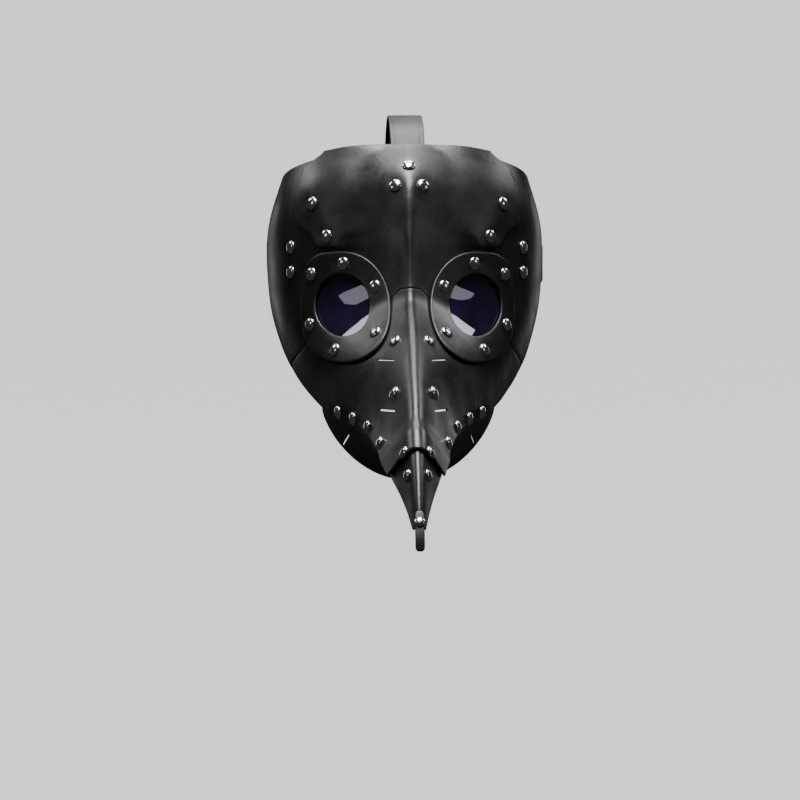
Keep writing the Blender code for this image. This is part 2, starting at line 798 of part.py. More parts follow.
def side_strap_left():
    """The short strap, folded back round the heel bar of the buckle and riveted to itself."""
    heel, along, out = heel_frame()
    rows = strap_rows_in_mask(1)
    rows += [strap_row((head_line(y), y)) for y in (4, 14, 24, 34, 42, HEEL_Y - 2)]
    plan = []
    for degrees in (-90, -54, -18, 18, 54, 90):
        a = math.radians(degrees)
        plan.append(heel + along * FOLD_R * math.cos(a) + out * FOLD_R * math.sin(a))
    for back, gap in ((5, 4.6), (10, 2.8), (16, 2.7), (24, 2.7)):
        y = HEEL_Y - back
        plan.append(Vector((head_line(y), y, 0)) + out * gap)
    rows += [strap_row((p.x, p.y)) for p in plan]
    obj = strap("side_strap_left", rows)
    cut(obj, bpy.data.objects["temple_holes"])
    slot = box_cutter("prong_slot", heel - along * 3, (18, 16, 4.4), along)
    cut(obj, slot)
    return obj


def box_cutter(name, centre, size, along):
    """A box for cutting, its first side lying along the given level direction."""
    bm = bmesh.new()
    turn = Matrix.Rotation(math.atan2(along.y, along.x), 4, "Z")
    bmesh.ops.create_cube(
        bm,
        size=1,
        matrix=Matrix.Translation(centre * MM) @ turn @ Matrix.Diagonal((*(Vector(size) * MM), 1)),
    )
    mesh = bpy.data.meshes.new(name)
    bm.to_mesh(mesh)
    bm.free()
    obj = place(name, mesh, None, "cutters")
    obj.hide_render = True
    obj.display_type = "WIRE"
    return obj


def head_angle_point(degrees):
    """A point of the head line by its angle from the wearer's left (0) to the rear (90)."""
    c, s = math.cos(math.radians(degrees)), math.sin(math.radians(degrees))
    reach = (abs(c / HEAD_HALF_W) ** HEAD_POWER + abs(s / HEAD_BACK) ** HEAD_POWER) ** (
        -1 / HEAD_POWER
    )
    return c * reach, s * reach


def side_strap_right():
    """The long strap: round the back of the head to a punched, pointed end by the buckle."""
    rows = strap_rows_in_mask(-1)
    for degrees in np.linspace(176, 52, 27):
        rows.append(strap_row(head_angle_point(degrees)))
    rows.append(strap_row(head_angle_point(50), STRAP_W / 2 * 0.75))
    rows.append(strap_row(head_angle_point(48.5), STRAP_W / 2 * 0.3))
    obj = strap("side_strap_right", rows)
    cut(obj, bpy.data.objects["temple_holes"])
    bm = bmesh.new()
    for degrees in (55, 60, 65, 70, 75, 80):
        x, y = head_angle_point(degrees)
        ahead = Vector((*head_angle_point(degrees + 1), 0)) - Vector((*head_angle_point(degrees - 1), 0))
        out = Vector((ahead.y, -ahead.x, 0)).normalized()
        place_at = Matrix.Translation(Vector((x, y, strap_z(y))) * MM)
        place_at = place_at @ out.to_track_quat("Z", "Y").to_matrix().to_4x4()
        bmesh.ops.create_cone(
            bm, cap_ends=True, segments=8, radius1=2 * MM, radius2=2 * MM, depth=8 * MM, matrix=place_at
        )
    mesh = bpy.data.meshes.new("strap_punches")
    bm.to_mesh(mesh)
    bm.free()
    punches = place("strap_punches", mesh, None, "cutters")
    punches.hide_render = True
    punches.display_type = "WIRE"
    cut(obj, punches)


def crown_strap():
    """From the forehead panel over the head, ending in a loop round the side strap."""
    half = STRAP_W / 2
    across = (-half, -half / 2, 0, half / 2, half)
    rows = []
    for v in (1.14, 0.85, 0.56, 0.28, 0.02):
        row = []
        for x in across:
            point = on_face(at_width(abs(x), v) if x else 0.0, v, -STRAP_DEPTH + STRAP_T / 2)
            row.append(point * [math.copysign(1, x), 1, 1])
        rows.append(row)
    back = HEAD_BACK
    over_head = [
        (-54, 112), (-34, 119), (-8, 123.5), (18, 122.5), (44, 115), (66, 101), (85, 80),
        (98, 58), (104, 46), (back + 4.4, 36), (back + 4.4, 20), (back + 4.4, 8), (back + 3, 5.2),
        (back, 4), (back - 3, 5.2), (back - 4.4, 8), (back - 4.4, 20), (back - 4.4, 34),
        (back - 3.3, 42), (95.3, 58), (91, 66),
    ]
    for y, z in over_head:
        rows.append([np.array([x, y, z]) for x in across])
    obj = strap("crown_strap", rows)
    cut(obj, bpy.data.objects["crown_holes"])


def tube(name, points, radius, closed=False, centre=(0, 0, 0)):
    """A bent wire through points given in millimetres about the centre."""
    curve = bpy.data.curves.new(name, "CURVE")
    curve.dimensions = "3D"
    curve.bevel_depth = radius * MM
    curve.bevel_resolution = 1
    curve.use_fill_caps = True
    spline = curve.splines.new("POLY")
    spline.points.add(len(points) - 1)
    spline.use_cyclic_u = closed
    for target, point in zip(spline.points, points):
        target.co = (*(Vector(point) * MM), 1)
    obj = place(name, curve, "metal")
    obj.location = Vector(centre) * MM
    return obj


def buckle():
    """Frame, roller and prong; the frame and the prong turn on the heel bar."""
    heel, along, out = heel_frame()
    up = Vector((0, 0, 1))
    length, half = BUCKLE_LENGTH, BUCKLE_HALF_W
    corners = [
        (0, -half + 2), (0, half - 2), (0.6, half - 0.6), (2, half), (length - 2, half),
        (length - 0.6, half - 0.6), (length, half - 2), (length, -half + 2),
        (length - 0.6, -half + 0.6), (length - 2, -half), (2, -half), (0.6, -half + 0.6),
    ]
    points = [along * a + up * b for a, b in corners]
    tube("buckle_frame", points, BAR_R, closed=True, centre=heel)
    eye = BAR_R + 0.4 + PRONG_R
    wire = []
    for degrees in (-190, -150, -110, -70, -30, 10, 50, 90):
        a = math.radians(degrees)
        wire.append(along * eye * math.cos(a) + out * eye * math.sin(a))
    over = ROLLER_R + PRONG_R + 0.4
    wire += [along * length * 0.5 + out * (over + 0.4), along * (length - 1) + out * over]
    wire.append(along * (length + 4.5) + out * (over - 0.2))
    tube("buckle_prong", wire, PRONG_R, centre=heel)
    front = heel + along * length
    outline = [
        (BAR_R + 0.4, half - 2.4), (ROLLER_R, half - 2.4), (ROLLER_R, -half + 2.4),
        (BAR_R + 0.4, -half + 2.4),
    ]
    mesh = bpy.data.meshes.new("buckle_roller")
    mesh.from_pydata(
        [(x * MM, 0, z * MM) for x, z in outline], [(0, 1), (1, 2), (2, 3), (3, 0)], []
    )
    roller = place("buckle_roller", mesh, "metal")
    roller.location = front * MM
    screw = roller.modifiers.new("turn", "SCREW")
    screw.steps = screw.render_steps = 12
    screw.use_merge_vertices = True
    screw.merge_threshold = 0.01 * MM
    smooth_shade(roller)


def keeper():
    """A leather loop that slides along the short strap and holds down the long one's end."""
    x, y = head_line(KEEPER_Y), KEEPER_Y
    z = strap_z(y)
    inner, outer, half = -STRAP_T / 2 - 0.9, STRAP_T / 2 + STRAP_T + 1.6, STRAP_W / 2 + 0.9
    loop = [
        (inner, -half + 1), (inner + 1, -half), (outer - 1, -half), (outer, -half + 1),
        (outer, half - 1), (outer - 1, half), (inner + 1, half), (inner, half - 1),
    ]
    rows = [[np.array([a, b, c]) for a, c in loop] for b in (-4.5, 4.5)]
    obj = leather("strap_keeper", sheet(rows, closed_rows=True), "strap", outward=(0, 0, -1))
    obj.location = Vector((x, y, z)) * MM


def harness():
    side_strap_left()
    side_strap_right()
    crown_strap()
    buckle()
    keeper()


# ---------------------------------------------------------------- scene


def clear_scene():
    for obj in list(bpy.data.objects):
        bpy.data.objects.remove(obj)


def main():
    clear_scene()
    forehead_panel()
    temple_panels()
    beak_upper_panel()
    beak_tip_panel()
    lower_beak_panel()
    eyes()
    all_rivets()
    tip_strip()
    harness()


main()
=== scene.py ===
"""Looks of the riveted leather plague doctor mask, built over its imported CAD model.

The leather is rebuilt fine on the same face surface as the CAD: a loft of cross-sections, each from
the central ridge (u = 0) to the rear or lower edge (u = 1), with v counting the stations from the
forehead (0) to the tip of the beak (9). The surface is worked out in millimetres, the meshes are in
metres. Minus u is the wearer's right.
"""

import json
import math

import bmesh
import bpy
import numpy as np
from mathutils import Matrix, Vector

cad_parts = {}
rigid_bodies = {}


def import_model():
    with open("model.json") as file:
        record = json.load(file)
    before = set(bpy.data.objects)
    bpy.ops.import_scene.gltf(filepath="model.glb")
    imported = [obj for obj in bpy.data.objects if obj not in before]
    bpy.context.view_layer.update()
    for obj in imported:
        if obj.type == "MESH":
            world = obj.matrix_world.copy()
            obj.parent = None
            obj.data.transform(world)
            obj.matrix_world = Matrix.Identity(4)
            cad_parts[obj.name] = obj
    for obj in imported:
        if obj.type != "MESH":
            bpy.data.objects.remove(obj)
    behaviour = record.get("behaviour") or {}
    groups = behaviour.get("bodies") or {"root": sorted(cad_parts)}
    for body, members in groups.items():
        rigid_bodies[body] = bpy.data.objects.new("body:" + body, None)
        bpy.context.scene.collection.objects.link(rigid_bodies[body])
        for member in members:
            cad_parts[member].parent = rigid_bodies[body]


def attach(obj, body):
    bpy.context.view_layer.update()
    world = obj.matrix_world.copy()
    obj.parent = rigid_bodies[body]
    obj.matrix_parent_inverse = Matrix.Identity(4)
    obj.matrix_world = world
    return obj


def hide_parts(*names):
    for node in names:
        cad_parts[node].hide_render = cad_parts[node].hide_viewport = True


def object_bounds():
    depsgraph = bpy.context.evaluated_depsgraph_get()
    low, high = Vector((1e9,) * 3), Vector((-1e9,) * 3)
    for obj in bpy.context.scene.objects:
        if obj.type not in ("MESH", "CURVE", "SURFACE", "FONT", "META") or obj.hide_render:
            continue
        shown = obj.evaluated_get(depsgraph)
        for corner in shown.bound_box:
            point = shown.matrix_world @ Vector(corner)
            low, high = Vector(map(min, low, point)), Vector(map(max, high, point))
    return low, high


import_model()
cad_low, cad_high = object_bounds()

MM = 0.001

# ---------------------------------------------------------------- sizes shared with the CAD, in mm

LEATHER, LAYER, LAP = 1.5, 2.2, 10.0
RING_TOP = LAYER + LEATHER
STRAP_W, STRAP_T = 22.0, 2.0
STRAP_DEPTH = STRAP_T + 0.7
BRIDGE_V, CHEVRON_V, TIP_V, TEMPLE_TOP_V = 3.0, 7.0, 9.0, 0.12
LOWER_FROM_V, LOWER_TO_V, FLANGE = 4.85, 8.75, 11.0
EYE, EYE_TALL = (42.5, 0.0), 1.12
LENS_R, LENS_T, POCKET_R, OPENING_R, BACKING_R = 19.2, 1.3, 20.1, 17.2, 29.0
RING_NASAL, RING_TEMPLE, RING_UP, RING_DOWN = 29.3, 25.8, 33.5, 35.8
HEAD_HALF_W, HEAD_BACK, HEAD_POWER = 86.0, 104.0, 2.6
STRAP_Z_FRONT, STRAP_Z_BACK = 29.0, 21.0
HEEL_Y, FOLD_R, KEEPER_Y = 48.0, 3.0, 8.0
BAR_R, BUCKLE_LENGTH, BUCKLE_HALF_W, ROLLER_R, PRONG_R = 1.5, 21.0, 13.8, 2.7, 1.1
RIVET_R, RIVET_RISE, RIVET_BACK_R, RIVET_BACK_RISE, SHANK_R = 4.2, 2.0, 3.2, 0.8, 1.4
RIVET_CLEAR, RIVET_SINK = 0.5, 0.55
PUNCH_R, PUNCH_DEGREES = 2.0, (55, 60, 65, 70, 75, 80)
KEEPER_W, KEEPER_GAP = 9.0, 0.9
RUNNING_GAP = 0.4
SEAM_GAP, BRIDGE_GAP = 0.0008, 0.004
SIDES = ((1, "left"), (-1, "right"))

# ridge y, z; edge x, y, z; slope beside the ridge; ridge height; crease radius; wrap
STATIONS = np.array(
    [
        (-72, 102, 78, -18, 84, 0.10, 0.0, 16.0, 1.0),
        (-97, 78, 87, -10, 54, 0.12, 3.0, 6.0, 1.0),
        (-109, 46, 89, -6, 28, 0.15, 7.0, 4.0, 1.0),
        (-119, 10, 85, -14, -8, 0.32, 10.0, 3.2, 1.0),
        (-134, -5, 72, -44, -42, 0.80, 5.0, 3.2, 0.85),
        (-166, -25, 52, -92, -66, 1.15, 1.0, 3.2, 0.45),
        (-201, -52, 28, -152, -78, 1.55, 0.0, 3.0, 0.15),
        (-238, -86, 14, -219, -102, 1.45, 0.0, 2.8, 0.0),
        (-259, -110, 6.6, -248, -118, 1.45, 0.0, 2.4, 0.0),
        (-271, -128, 2.8, -266.5, -130, 1.3, 0.0, 2.0, 0.0),
    ],
    float,
)
RIDGE_WIDTH = 11.0

EYE_RIVETS = [(61.5, 19.5), (41.5, 26.0), (22.0, 11.5), (22.2, -16.8), (47.0, -28.0), (62.5, -12.5)]
CROWN_RIVETS = [(0.0, 88.0), (8.8, 75.0)]
FOREHEAD_RIVETS = [(61.0, 64.5), (52.0, 43.5)]
TEMPLE_RIVETS = [(74.5, 37.0), (74.5, 21.0)]
BRIDGE_RIVETS = [(10.8, -22.0)]
NOSTRIL_RIVETS = [(12.2, -53.0)]
SEAM_UPPER_RIVETS = [(8.0, -86.5)]
SEAM_LOWER_RIVETS = [(6.3, -99.5)]
CHEEK_RIVET_V = (5.28, 5.62, 5.98, 6.38)
TIP_RIVET = (0.0, -125.0)
SLITS = [((16.5, -33.5), 10.5), ((16.5, -63.5), 9.0)]
LOWER_SLIT = ((37.0, -80.0), (41.5, -89.5))


# ---------------------------------------------------------------- the face surface, on arrays


def smooth(t):
    t = np.clip(t, 0.0, 1.0)
    return t * t * (3 - 2 * t)


def mix(a, b, t):
    return a + (b - a) * t


def catmull(keys, t):
    """Rows of keys at 0, 1, 2 ... read at t, an array, with a smooth curve through them."""
    keys = np.asarray(keys, float)
    last = len(keys) - 1
    padded = np.vstack([2 * keys[:1] - keys[1:2], keys, 2 * keys[-1:] - keys[-2:-1]])
    i = np.clip(np.floor(t).astype(int), 0, last - 1)
    f = (t - i)[..., None]
    before, p, q, after = padded[i], padded[i + 1], padded[i + 2], padded[i + 3]
    return 0.5 * (
        2 * p
        + (q - before) * f
        + (2 * before - 5 * p + 4 * q - after) * f * f
        + (3 * p - before - 3 * q + after) * f**3
    )


def read_curve(points, t):
    """The second number of (t, value) pairs, read between them with a smoothed straight line."""
    t = np.asarray(t, float)
    result = np.full(t.shape, float(points[0][1]))
    for (t0, a), (t1, b) in zip(points, points[1:]):
        result = np.where(t > t0, a + (b - a) * smooth((t - t0) / (t1 - t0)), result)
    return result


def bezier(b1, b2, t):
    return 3 * t * (1 - t) ** 2 * b1 + 3 * t * t * (1 - t) * b2 + t**3


def face(u, v):
    """Points of the face surface at the arrays u and v; minus u is mirrored."""
    u, v = np.broadcast_arrays(np.asarray(u, float), np.asarray(v, float))
    side, u = np.where(u < 0, -1.0, 1.0), np.abs(u)
    s = np.moveaxis(catmull(STATIONS, v), -1, 0)
    ridge_y, ridge_z, edge_x, edge_y, edge_z, slope, ridge_h, crease, wrap = s
    depth = np.hypot(edge_y - ridge_y, edge_z - ridge_z)
    a1, a2 = mix(0.33, 0.5, wrap), mix(0.70, 1.0, wrap)
    b1, b2 = slope * a1 * edge_x / depth, mix(0.67, 0.40, wrap)
    round_off = np.minimum(0.6, crease * depth * 3 * b1 / (3 * a1 * edge_x) ** 2)
    start = bezier(b1, b2, round_off)
    x = edge_x * bezier(a1, a2, u)
    fall = (depth - ridge_h) * (bezier(b1, b2, np.sqrt(u * u + (1 - u * u) * round_off**2)) - start)
    fall = fall / (1 - start)
    fall = fall + ridge_h * (1 - np.exp(-(np.hypot(x, crease) - crease) / RIDGE_WIDTH))
    y = ridge_y + (edge_y - ridge_y) / depth * fall
    z = ridge_z + (edge_z - ridge_z) / depth * fall
    return np.stack([side * x, y, z], -1)


def normal(u, v):
    """Outward unit normals of the face surface."""
    u, v = np.broadcast_arrays(np.asarray(u, float), np.asarray(v, float))
    side, u = np.where(u < 0, -1.0, 1.0), np.abs(u)
    du, dv = 0.004, 0.01
    across = face(u + du, v) - face(np.maximum(u - du, 0), v)
    across = np.where((u < 1e-6)[..., None], np.array([1.0, 0, 0]), across)
    down = face(u, np.minimum(v + dv, TIP_V)) - face(u, np.maximum(v - dv, 0))
    out = np.cross(down, across)
    out /= np.linalg.norm(out, axis=-1, keepdims=True)
    out[..., 0] *= side
    return out


def on_face(u, v, offset):
    return face(u, v) + normal(u, v) * np.asarray(offset, float)[..., None]


GRID_U, GRID_V = np.meshgrid(np.linspace(0, 1, 61), np.linspace(0, TIP_V, 163))
GRID_U, GRID_V = GRID_U.ravel(), GRID_V.ravel()
GRID_XZ = face(GRID_U, GRID_V)[:, [0, 2]]


def locate(x, z, offset):
    """(u, v) whose points, raised by offset, are those that the front view shows at x and z."""
    shape = np.shape(x)
    side = np.where(np.asarray(x) < 0, -1.0, 1.0).ravel()
    target = np.stack([np.abs(x), z * np.ones(shape)], -1).reshape(-1, 2)
    nearest = [int(np.argmin(((GRID_XZ - t) ** 2).sum(1))) for t in target]
    u, v = GRID_U[nearest].copy(), GRID_V[nearest].copy()
    lift, step = np.full(len(u), float(offset)), 1e-3
    for _ in range(8):
        here = on_face(u, v, lift)[:, [0, 2]]
        by_u = (on_face(u + step, v, lift)[:, [0, 2]] - here) / step
        by_v = (on_face(u, v + step, lift)[:, [0, 2]] - here) / step
        det = by_u[:, 0] * by_v[:, 1] - by_u[:, 1] * by_v[:, 0]
        det = np.where(np.abs(det) < 1e-9, 1e-9, det)
        gap = target - here
        u = np.clip(u + (gap[:, 0] * by_v[:, 1] - gap[:, 1] * by_v[:, 0]) / det, 0, 1)
        v = np.clip(v + (by_u[:, 0] * gap[:, 1] - by_u[:, 1] * gap[:, 0]) / det, 0, TIP_V)
    return (side * u).reshape(shape), v.reshape(shape)


def at_width(x, v):
    """The u of station v where the face surface is x wide."""
    v = np.asarray(v, float)
    low, high = np.zeros(v.shape), np.ones(v.shape)
    for _ in range(30):
        u = (low + high) / 2
        narrow = face(u, v)[..., 0] < x
        low, high = np.where(narrow, u, low), np.where(narrow, high, u)
    return u


def at_height(u, z):
    """The station at which the face surface, at u, is z high."""
    high, low = 1.0, 3.6
    for _ in range(30):
        v = (high + low) / 2
        high, low = (v, low) if face(u, v)[2] > z else (high, v)
    return v


def flange_u(v, width):
    s = np.moveaxis(catmull(STATIONS, np.asarray(v, float)), -1, 0)
    depth = np.hypot(s[3] - s[0], s[4] - s[1])
    return 1 - np.minimum(width / np.hypot(s[2], depth), 0.3)


CHEEK_RIVETS = []
for cheek_v in CHEEK_RIVET_V:
    spot = on_face(flange_u(cheek_v, 5.5), cheek_v, LEATHER)
    CHEEK_RIVETS.append((spot[0], spot[2]))


def forehead_edge(v):
    return read_curve(
        [(0.0, 52.0), (0.4, 65.0), (1.0, 70.0), (1.5, 68.5), (2.0, 58.0), (2.35, 48.0), (3.0, 31.0)], v
    )


def bridge_seam(u):
    return BRIDGE_V + 0.22 * smooth((np.abs(u) - 0.035) / 0.06)


def cheek_seam(u):
    return bridge_seam(u) + 0.73 * smooth((np.abs(u) - 0.18) / 0.62)


def temple_front(v):
    edge = forehead_edge(v)
    z = face(at_width(edge, v), v)[..., 2]
    return edge - mix(-0.1, LAP, smooth((z - 34.8) / 2.0))


def settle(row, width, shape):
    """The u and v on the rows v = row(u) where the face surface is width(v) wide."""
    u = np.full(shape, 0.3)
    for _ in range(6):
        u = at_width(width(row(u)), row(u))
    return u, row(u)


# Where the leather is drawn in a little by a rivet: (x, z, radius, depth)
DIMPLES = [(x, z, 6.5, 0.35) for x, z in EYE_RIVETS + FOREHEAD_RIVETS + CROWN_RIVETS]
DIMPLES += [(x, z, 5.5, 0.3) for x, z in BRIDGE_RIVETS + NOSTRIL_RIVETS + TEMPLE_RIVETS]
DIMPLES += [(x, z, 5.0, 0.3) for x, z in SEAM_UPPER_RIVETS + SEAM_LOWER_RIVETS + CHEEK_RIVETS]


def worn(points):
    """How far the leather stands off its ideal surface: pulled in at rivets, gently uneven."""
    x, y, z = points[..., 0], points[..., 1], points[..., 2]
    lift = 0.12 * np.sin(x / 9.1 + 0.7 * np.sin(z / 13.0)) * np.sin(z / 11.3 + 0.4 + y / 17.0)
    lift += 0.10 * np.sin(x / 4.7 + z / 8.3 + 1.1) * np.sin(y / 6.1 - z / 19.0)
    for rx, rz, radius, deep in DIMPLES:
        near = (np.abs(x) - rx) ** 2 + (z - rz) ** 2
        lift -= deep * np.exp(-near / (radius * 0.55) ** 2)
    return lift


# ---------------------------------------------------------------- materials


def new_material(name, colour, roughness, metallic=0.0, specular=0.5):
    made = bpy.data.materials.new(name)
    made.use_nodes = True
    shader = made.node_tree.nodes["Principled BSDF"]
    shader.inputs["Base Color"].default_value = (*colour, 1)
    shader.inputs["Roughness"].default_value = roughness
    shader.inputs["Metallic"].default_value = metallic
    shader.inputs["Specular IOR Level"].default_value = specular
    return made, shader


def add(tree, kind, **settings):
    node = tree.nodes.new(kind)
    for key, value in settings.items():
        if key in node.inputs:
            node.inputs[key].default_value = value
        else:
            setattr(node, key, value)
    return node


def open_tree(made):
    """The material's nodes, the call that links them, and the object's own coordinates."""
    tree = made.node_tree
    return tree, tree.links.new, tree.nodes.new("ShaderNodeTexCoord").outputs["Object"]


def ramp(tree, source, stops):
    node = tree.nodes.new("ShaderNodeValToRGB")
    while len(node.color_ramp.elements) < len(stops):
        node.color_ramp.elements.new(0.5)
    for element, (place, colour) in zip(node.color_ramp.elements, stops):
        element.position = place
        element.color = (*colour, 1) if isinstance(colour, tuple) else (colour, colour, colour, 1)
    tree.links.new(source, node.inputs["Fac"])
    return node


def leather_material(name, colour, roughness, grain=0.00007, cell=1100.0):
    """Smooth finished leather: a fine pebble grain, faint creases and uneven polish."""
    made, shader = new_material(name, colour, roughness, specular=0.5)
    tree, link, where = open_tree(made)
    pebble = add(tree, "ShaderNodeTexVoronoi", feature="SMOOTH_F1", Scale=cell, Smoothness=0.6)
    pores = add(tree, "ShaderNodeTexNoise", Scale=2600.0, Detail=3.0)
    folds = add(tree, "ShaderNodeTexNoise", Scale=60.0, Detail=6.0, Roughness=0.55, Distortion=0.7)
    polish = add(tree, "ShaderNodeTexNoise", Scale=28.0, Detail=5.0, Roughness=0.6)
    for node in (pebble, pores, folds, polish):
        link(where, node.inputs["Vector"])
    height = add(tree, "ShaderNodeMath", operation="MULTIPLY_ADD")
    link(pebble.outputs["Distance"], height.inputs[0])
    height.inputs[1].default_value = 0.7
    link(pores.outputs["Fac"], height.inputs[2])
    bump = add(tree, "ShaderNodeBump", Strength=0.35, Distance=grain)
    link(height.outputs[0], bump.inputs["Height"])
    wave = add(tree, "ShaderNodeBump", Strength=0.25, Distance=0.0010)
    link(folds.outputs["Fac"], wave.inputs["Height"])
    link(bump.outputs["Normal"], wave.inputs["Normal"])
    link(wave.outputs["Normal"], shader.inputs["Normal"])
    rough = ramp(tree, polish.outputs["Fac"], [(0.30, roughness - 0.10), (0.70, roughness + 0.10)])
    link(rough.outputs["Color"], shader.inputs["Roughness"])
    dark = tuple(c * 0.75 for c in colour)
    light = tuple(min(c * 1.5, 1) for c in colour)
    tint = ramp(tree, folds.outputs["Fac"], [(0.35, dark), (0.68, light)])
    link(tint.outputs["Color"], shader.inputs["Base Color"])
    return made


def metal_material():
    """Bright plated steel with faint handling marks."""
    made, shader = new_material("plated_metal", (0.80, 0.80, 0.82), 0.14, metallic=1.0)
    tree, link, where = open_tree(made)
    marks = add(tree, "ShaderNodeTexNoise", Scale=420.0, Detail=6.0, Roughness=0.7)
    link(where, marks.inputs["Vector"])
    rough = ramp(tree, marks.outputs["Fac"], [(0.35, 0.08), (0.75, 0.26)])
    link(rough.outputs["Color"], shader.inputs["Roughness"])
    tone = ramp(tree, marks.outputs["Fac"], [(0.3, (0.60, 0.60, 0.62)), (0.7, (0.86, 0.86, 0.87))])
    link(tone.outputs["Color"], shader.inputs["Base Color"])
    bump = add(tree, "ShaderNodeBump", Strength=0.10, Distance=0.00005)
    link(marks.outputs["Fac"], bump.inputs["Height"])
    link(bump.outputs["Normal"], shader.inputs["Normal"])
    return made


def lens_material():
    """Dark violet tinted plastic with a hard gloss."""
    made, shader = new_material("tinted_lens", (0.008, 0.005, 0.016), 0.035, specular=0.6)
    tree, link, where = open_tree(made)
    haze = add(tree, "ShaderNodeTexNoise", Scale=45.0, Detail=4.0)
    link(where, haze.inputs["Vector"])
    tone = ramp(tree, haze.outputs["Fac"], [(0.3, (0.004, 0.003, 0.008)), (0.7, (0.013, 0.008, 0.026))])
    link(tone.outputs["Color"], shader.inputs["Base Color"])
    rough = ramp(tree, haze.outputs["Fac"], [(0.3, 0.02), (0.8, 0.06)])
    link(rough.outputs["Color"], shader.inputs["Roughness"])
    shader.inputs["IOR"].default_value = 1.58
    shader.inputs["Coat Weight"].default_value = 0.6
    shader.inputs["Coat Roughness"].default_value = 0.02
    shader.inputs["Coat Tint"].default_value = (0.72, 0.66, 1.0, 1)
    return made


FACE_LEATHER = leather_material("face_leather", (0.0055, 0.0055, 0.0060), 0.36)
# The underside's leather is a darker, rougher copy of the face leather. Its darker colour is painted
# shade, for the shade under the beak.
PAINTED_SHADE_LOWER_LEATHER = leather_material("painted_shade_lower_leather", (0.0040, 0.0040, 0.0045), 0.46)
STRAP_LEATHER = leather_material("strap_leather", (0.0075, 0.0070, 0.0068), 0.44, cell=900.0)
# Cut edges and rounded rims are a lighter grey. This is partly the raw leather edge and partly a painted
# highlight for the light that the rounded edges catch.
CUT_EDGE_AND_PAINTED_HIGHLIGHT = leather_material("cut_edge_and_painted_highlight", (0.060, 0.058, 0.056), 0.50, grain=0.00012, cell=1800.0)
FLESH_SIDE = leather_material("flesh_side", (0.055, 0.052, 0.050), 0.85, grain=0.00020, cell=1500.0)
METAL = metal_material()
LENS = lens_material()
FACE_SHEET = (FACE_LEATHER, CUT_EDGE_AND_PAINTED_HIGHLIGHT, FLESH_SIDE)
STRAP_SHEET = (STRAP_LEATHER, CUT_EDGE_AND_PAINTED_HIGHLIGHT, FLESH_SIDE)


# ---------------------------------------------------------------- mesh tools


def keep(name, mesh, nodes, body="mask"):
    """A finished piece: riding on its body, standing for its CAD nodes."""
    piece = bpy.data.objects.new(name, mesh)
    bpy.context.scene.collection.objects.link(piece)
    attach(piece, body)
    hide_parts(*nodes)
    return piece


def round_drop(near):
    """How far a rounded edge, as wide as the last of near, has dropped near mm from its rim."""
    wide = near[-1]
    return wide - np.sqrt(wide**2 - (wide - near) ** 2)


def spacing(count, length, round_start=True):
    """Shares 0 to 1 along a row of that length, closer at its rounded ends, and the edge's drop."""
    near = np.array([0.0, 0.15, 0.35, 0.7])
    high = 1 - near[::-1] / length
    inner = np.linspace(near[-1] / length if round_start else 0.0, high[0], count)[:-1]
    shares = np.concatenate([near[:-1] / length, inner, high] if round_start else [inner, high])
    drop = np.zeros(len(shares))
    drop[-4:] = round_drop(near)[::-1]
    if round_start:
        drop[:4] = round_drop(near)
    return shares, drop


def mesh_of(bm, name, materials=(METAL,), sharp=40):
    """The finished mesh of bm, smooth but for its sharp edges."""
    bmesh.ops.recalc_face_normals(bm, faces=bm.faces)
    mesh = bpy.data.meshes.new(name)
    bm.to_mesh(mesh)
    bm.free()
    for made in materials:
        mesh.materials.append(made)
    mesh.shade_smooth()
    mesh.set_sharp_from_angle(angle=math.radians(sharp))
    return mesh


def slab(points, normals, low, high, drop, rows_closed=False, materials=FACE_SHEET):
    """A closed sheet between the offsets low and high, its outer edge rounded by drop.

    The arrays run (row, column). rows_closed joins the last row to the first. Material 0 is the
    outer side, 1 the cut edges and their rounded rims, lighter partly as raw edge and partly as
    painted highlight, 2 the inner side."""
    rows, columns = points.shape[:2]
    shape = (rows, columns)
    drop = np.broadcast_to(drop, shape)
    high = np.broadcast_to(high, shape) - drop
    low = np.broadcast_to(low, shape) + drop * 0.6
    outer = points + normals * high[..., None]
    inner = points + normals * low[..., None]
    verts = np.concatenate([outer.reshape(-1, 3), inner.reshape(-1, 3)]) * MM
    half = rows * columns
    faces, slots = [], []
    last_row = rows if rows_closed else rows - 1
    rim = drop > 0.12
    for i in range(last_row):
        j = (i + 1) % rows
        for k in range(columns - 1):
            a, b, c, d = i * columns + k, i * columns + k + 1, j * columns + k + 1, j * columns + k
            edge = rim[i, k] and rim[i, k + 1] and rim[j, k] and rim[j, k + 1]
            faces.append((a, d, c, b))
            slots.append(1 if edge else 0)
            faces.append((half + a, half + b, half + c, half + d))
            slots.append(1 if edge else 2)
    for i in range(last_row):
        j = (i + 1) % rows
        a, d = i * columns, j * columns
        faces.append((a, half + a, half + d, d))
        b, c = a + columns - 1, d + columns - 1
        faces.append((b, c, half + c, half + b))
        slots += [1, 1]
    if not rows_closed:
        for k in range(columns - 1):
            a, b = k, k + 1
            faces.append((a, b, half + b, half + a))
            c, d = (rows - 1) * columns + k, (rows - 1) * columns + k + 1
            faces.append((c, half + c, half + d, d))
            slots += [1, 1]
    mesh = bpy.data.meshes.new("slab")
    mesh.from_pydata(verts.tolist(), [], faces)
    mesh.polygons.foreach_set("material_index", slots)
    bm = bmesh.new()
    bm.from_mesh(mesh)
    bpy.data.meshes.remove(mesh)
    return mesh_of(bm, "slab", materials, 50)


def cutter_object(bm):
    bmesh.ops.recalc_face_normals(bm, faces=bm.faces)
    mesh = bpy.data.meshes.new("cutter")
    bm.to_mesh(mesh)
    bm.free()
    tool = bpy.data.objects.new("cutter", mesh)
    bpy.context.scene.collection.objects.link(tool)
    return tool


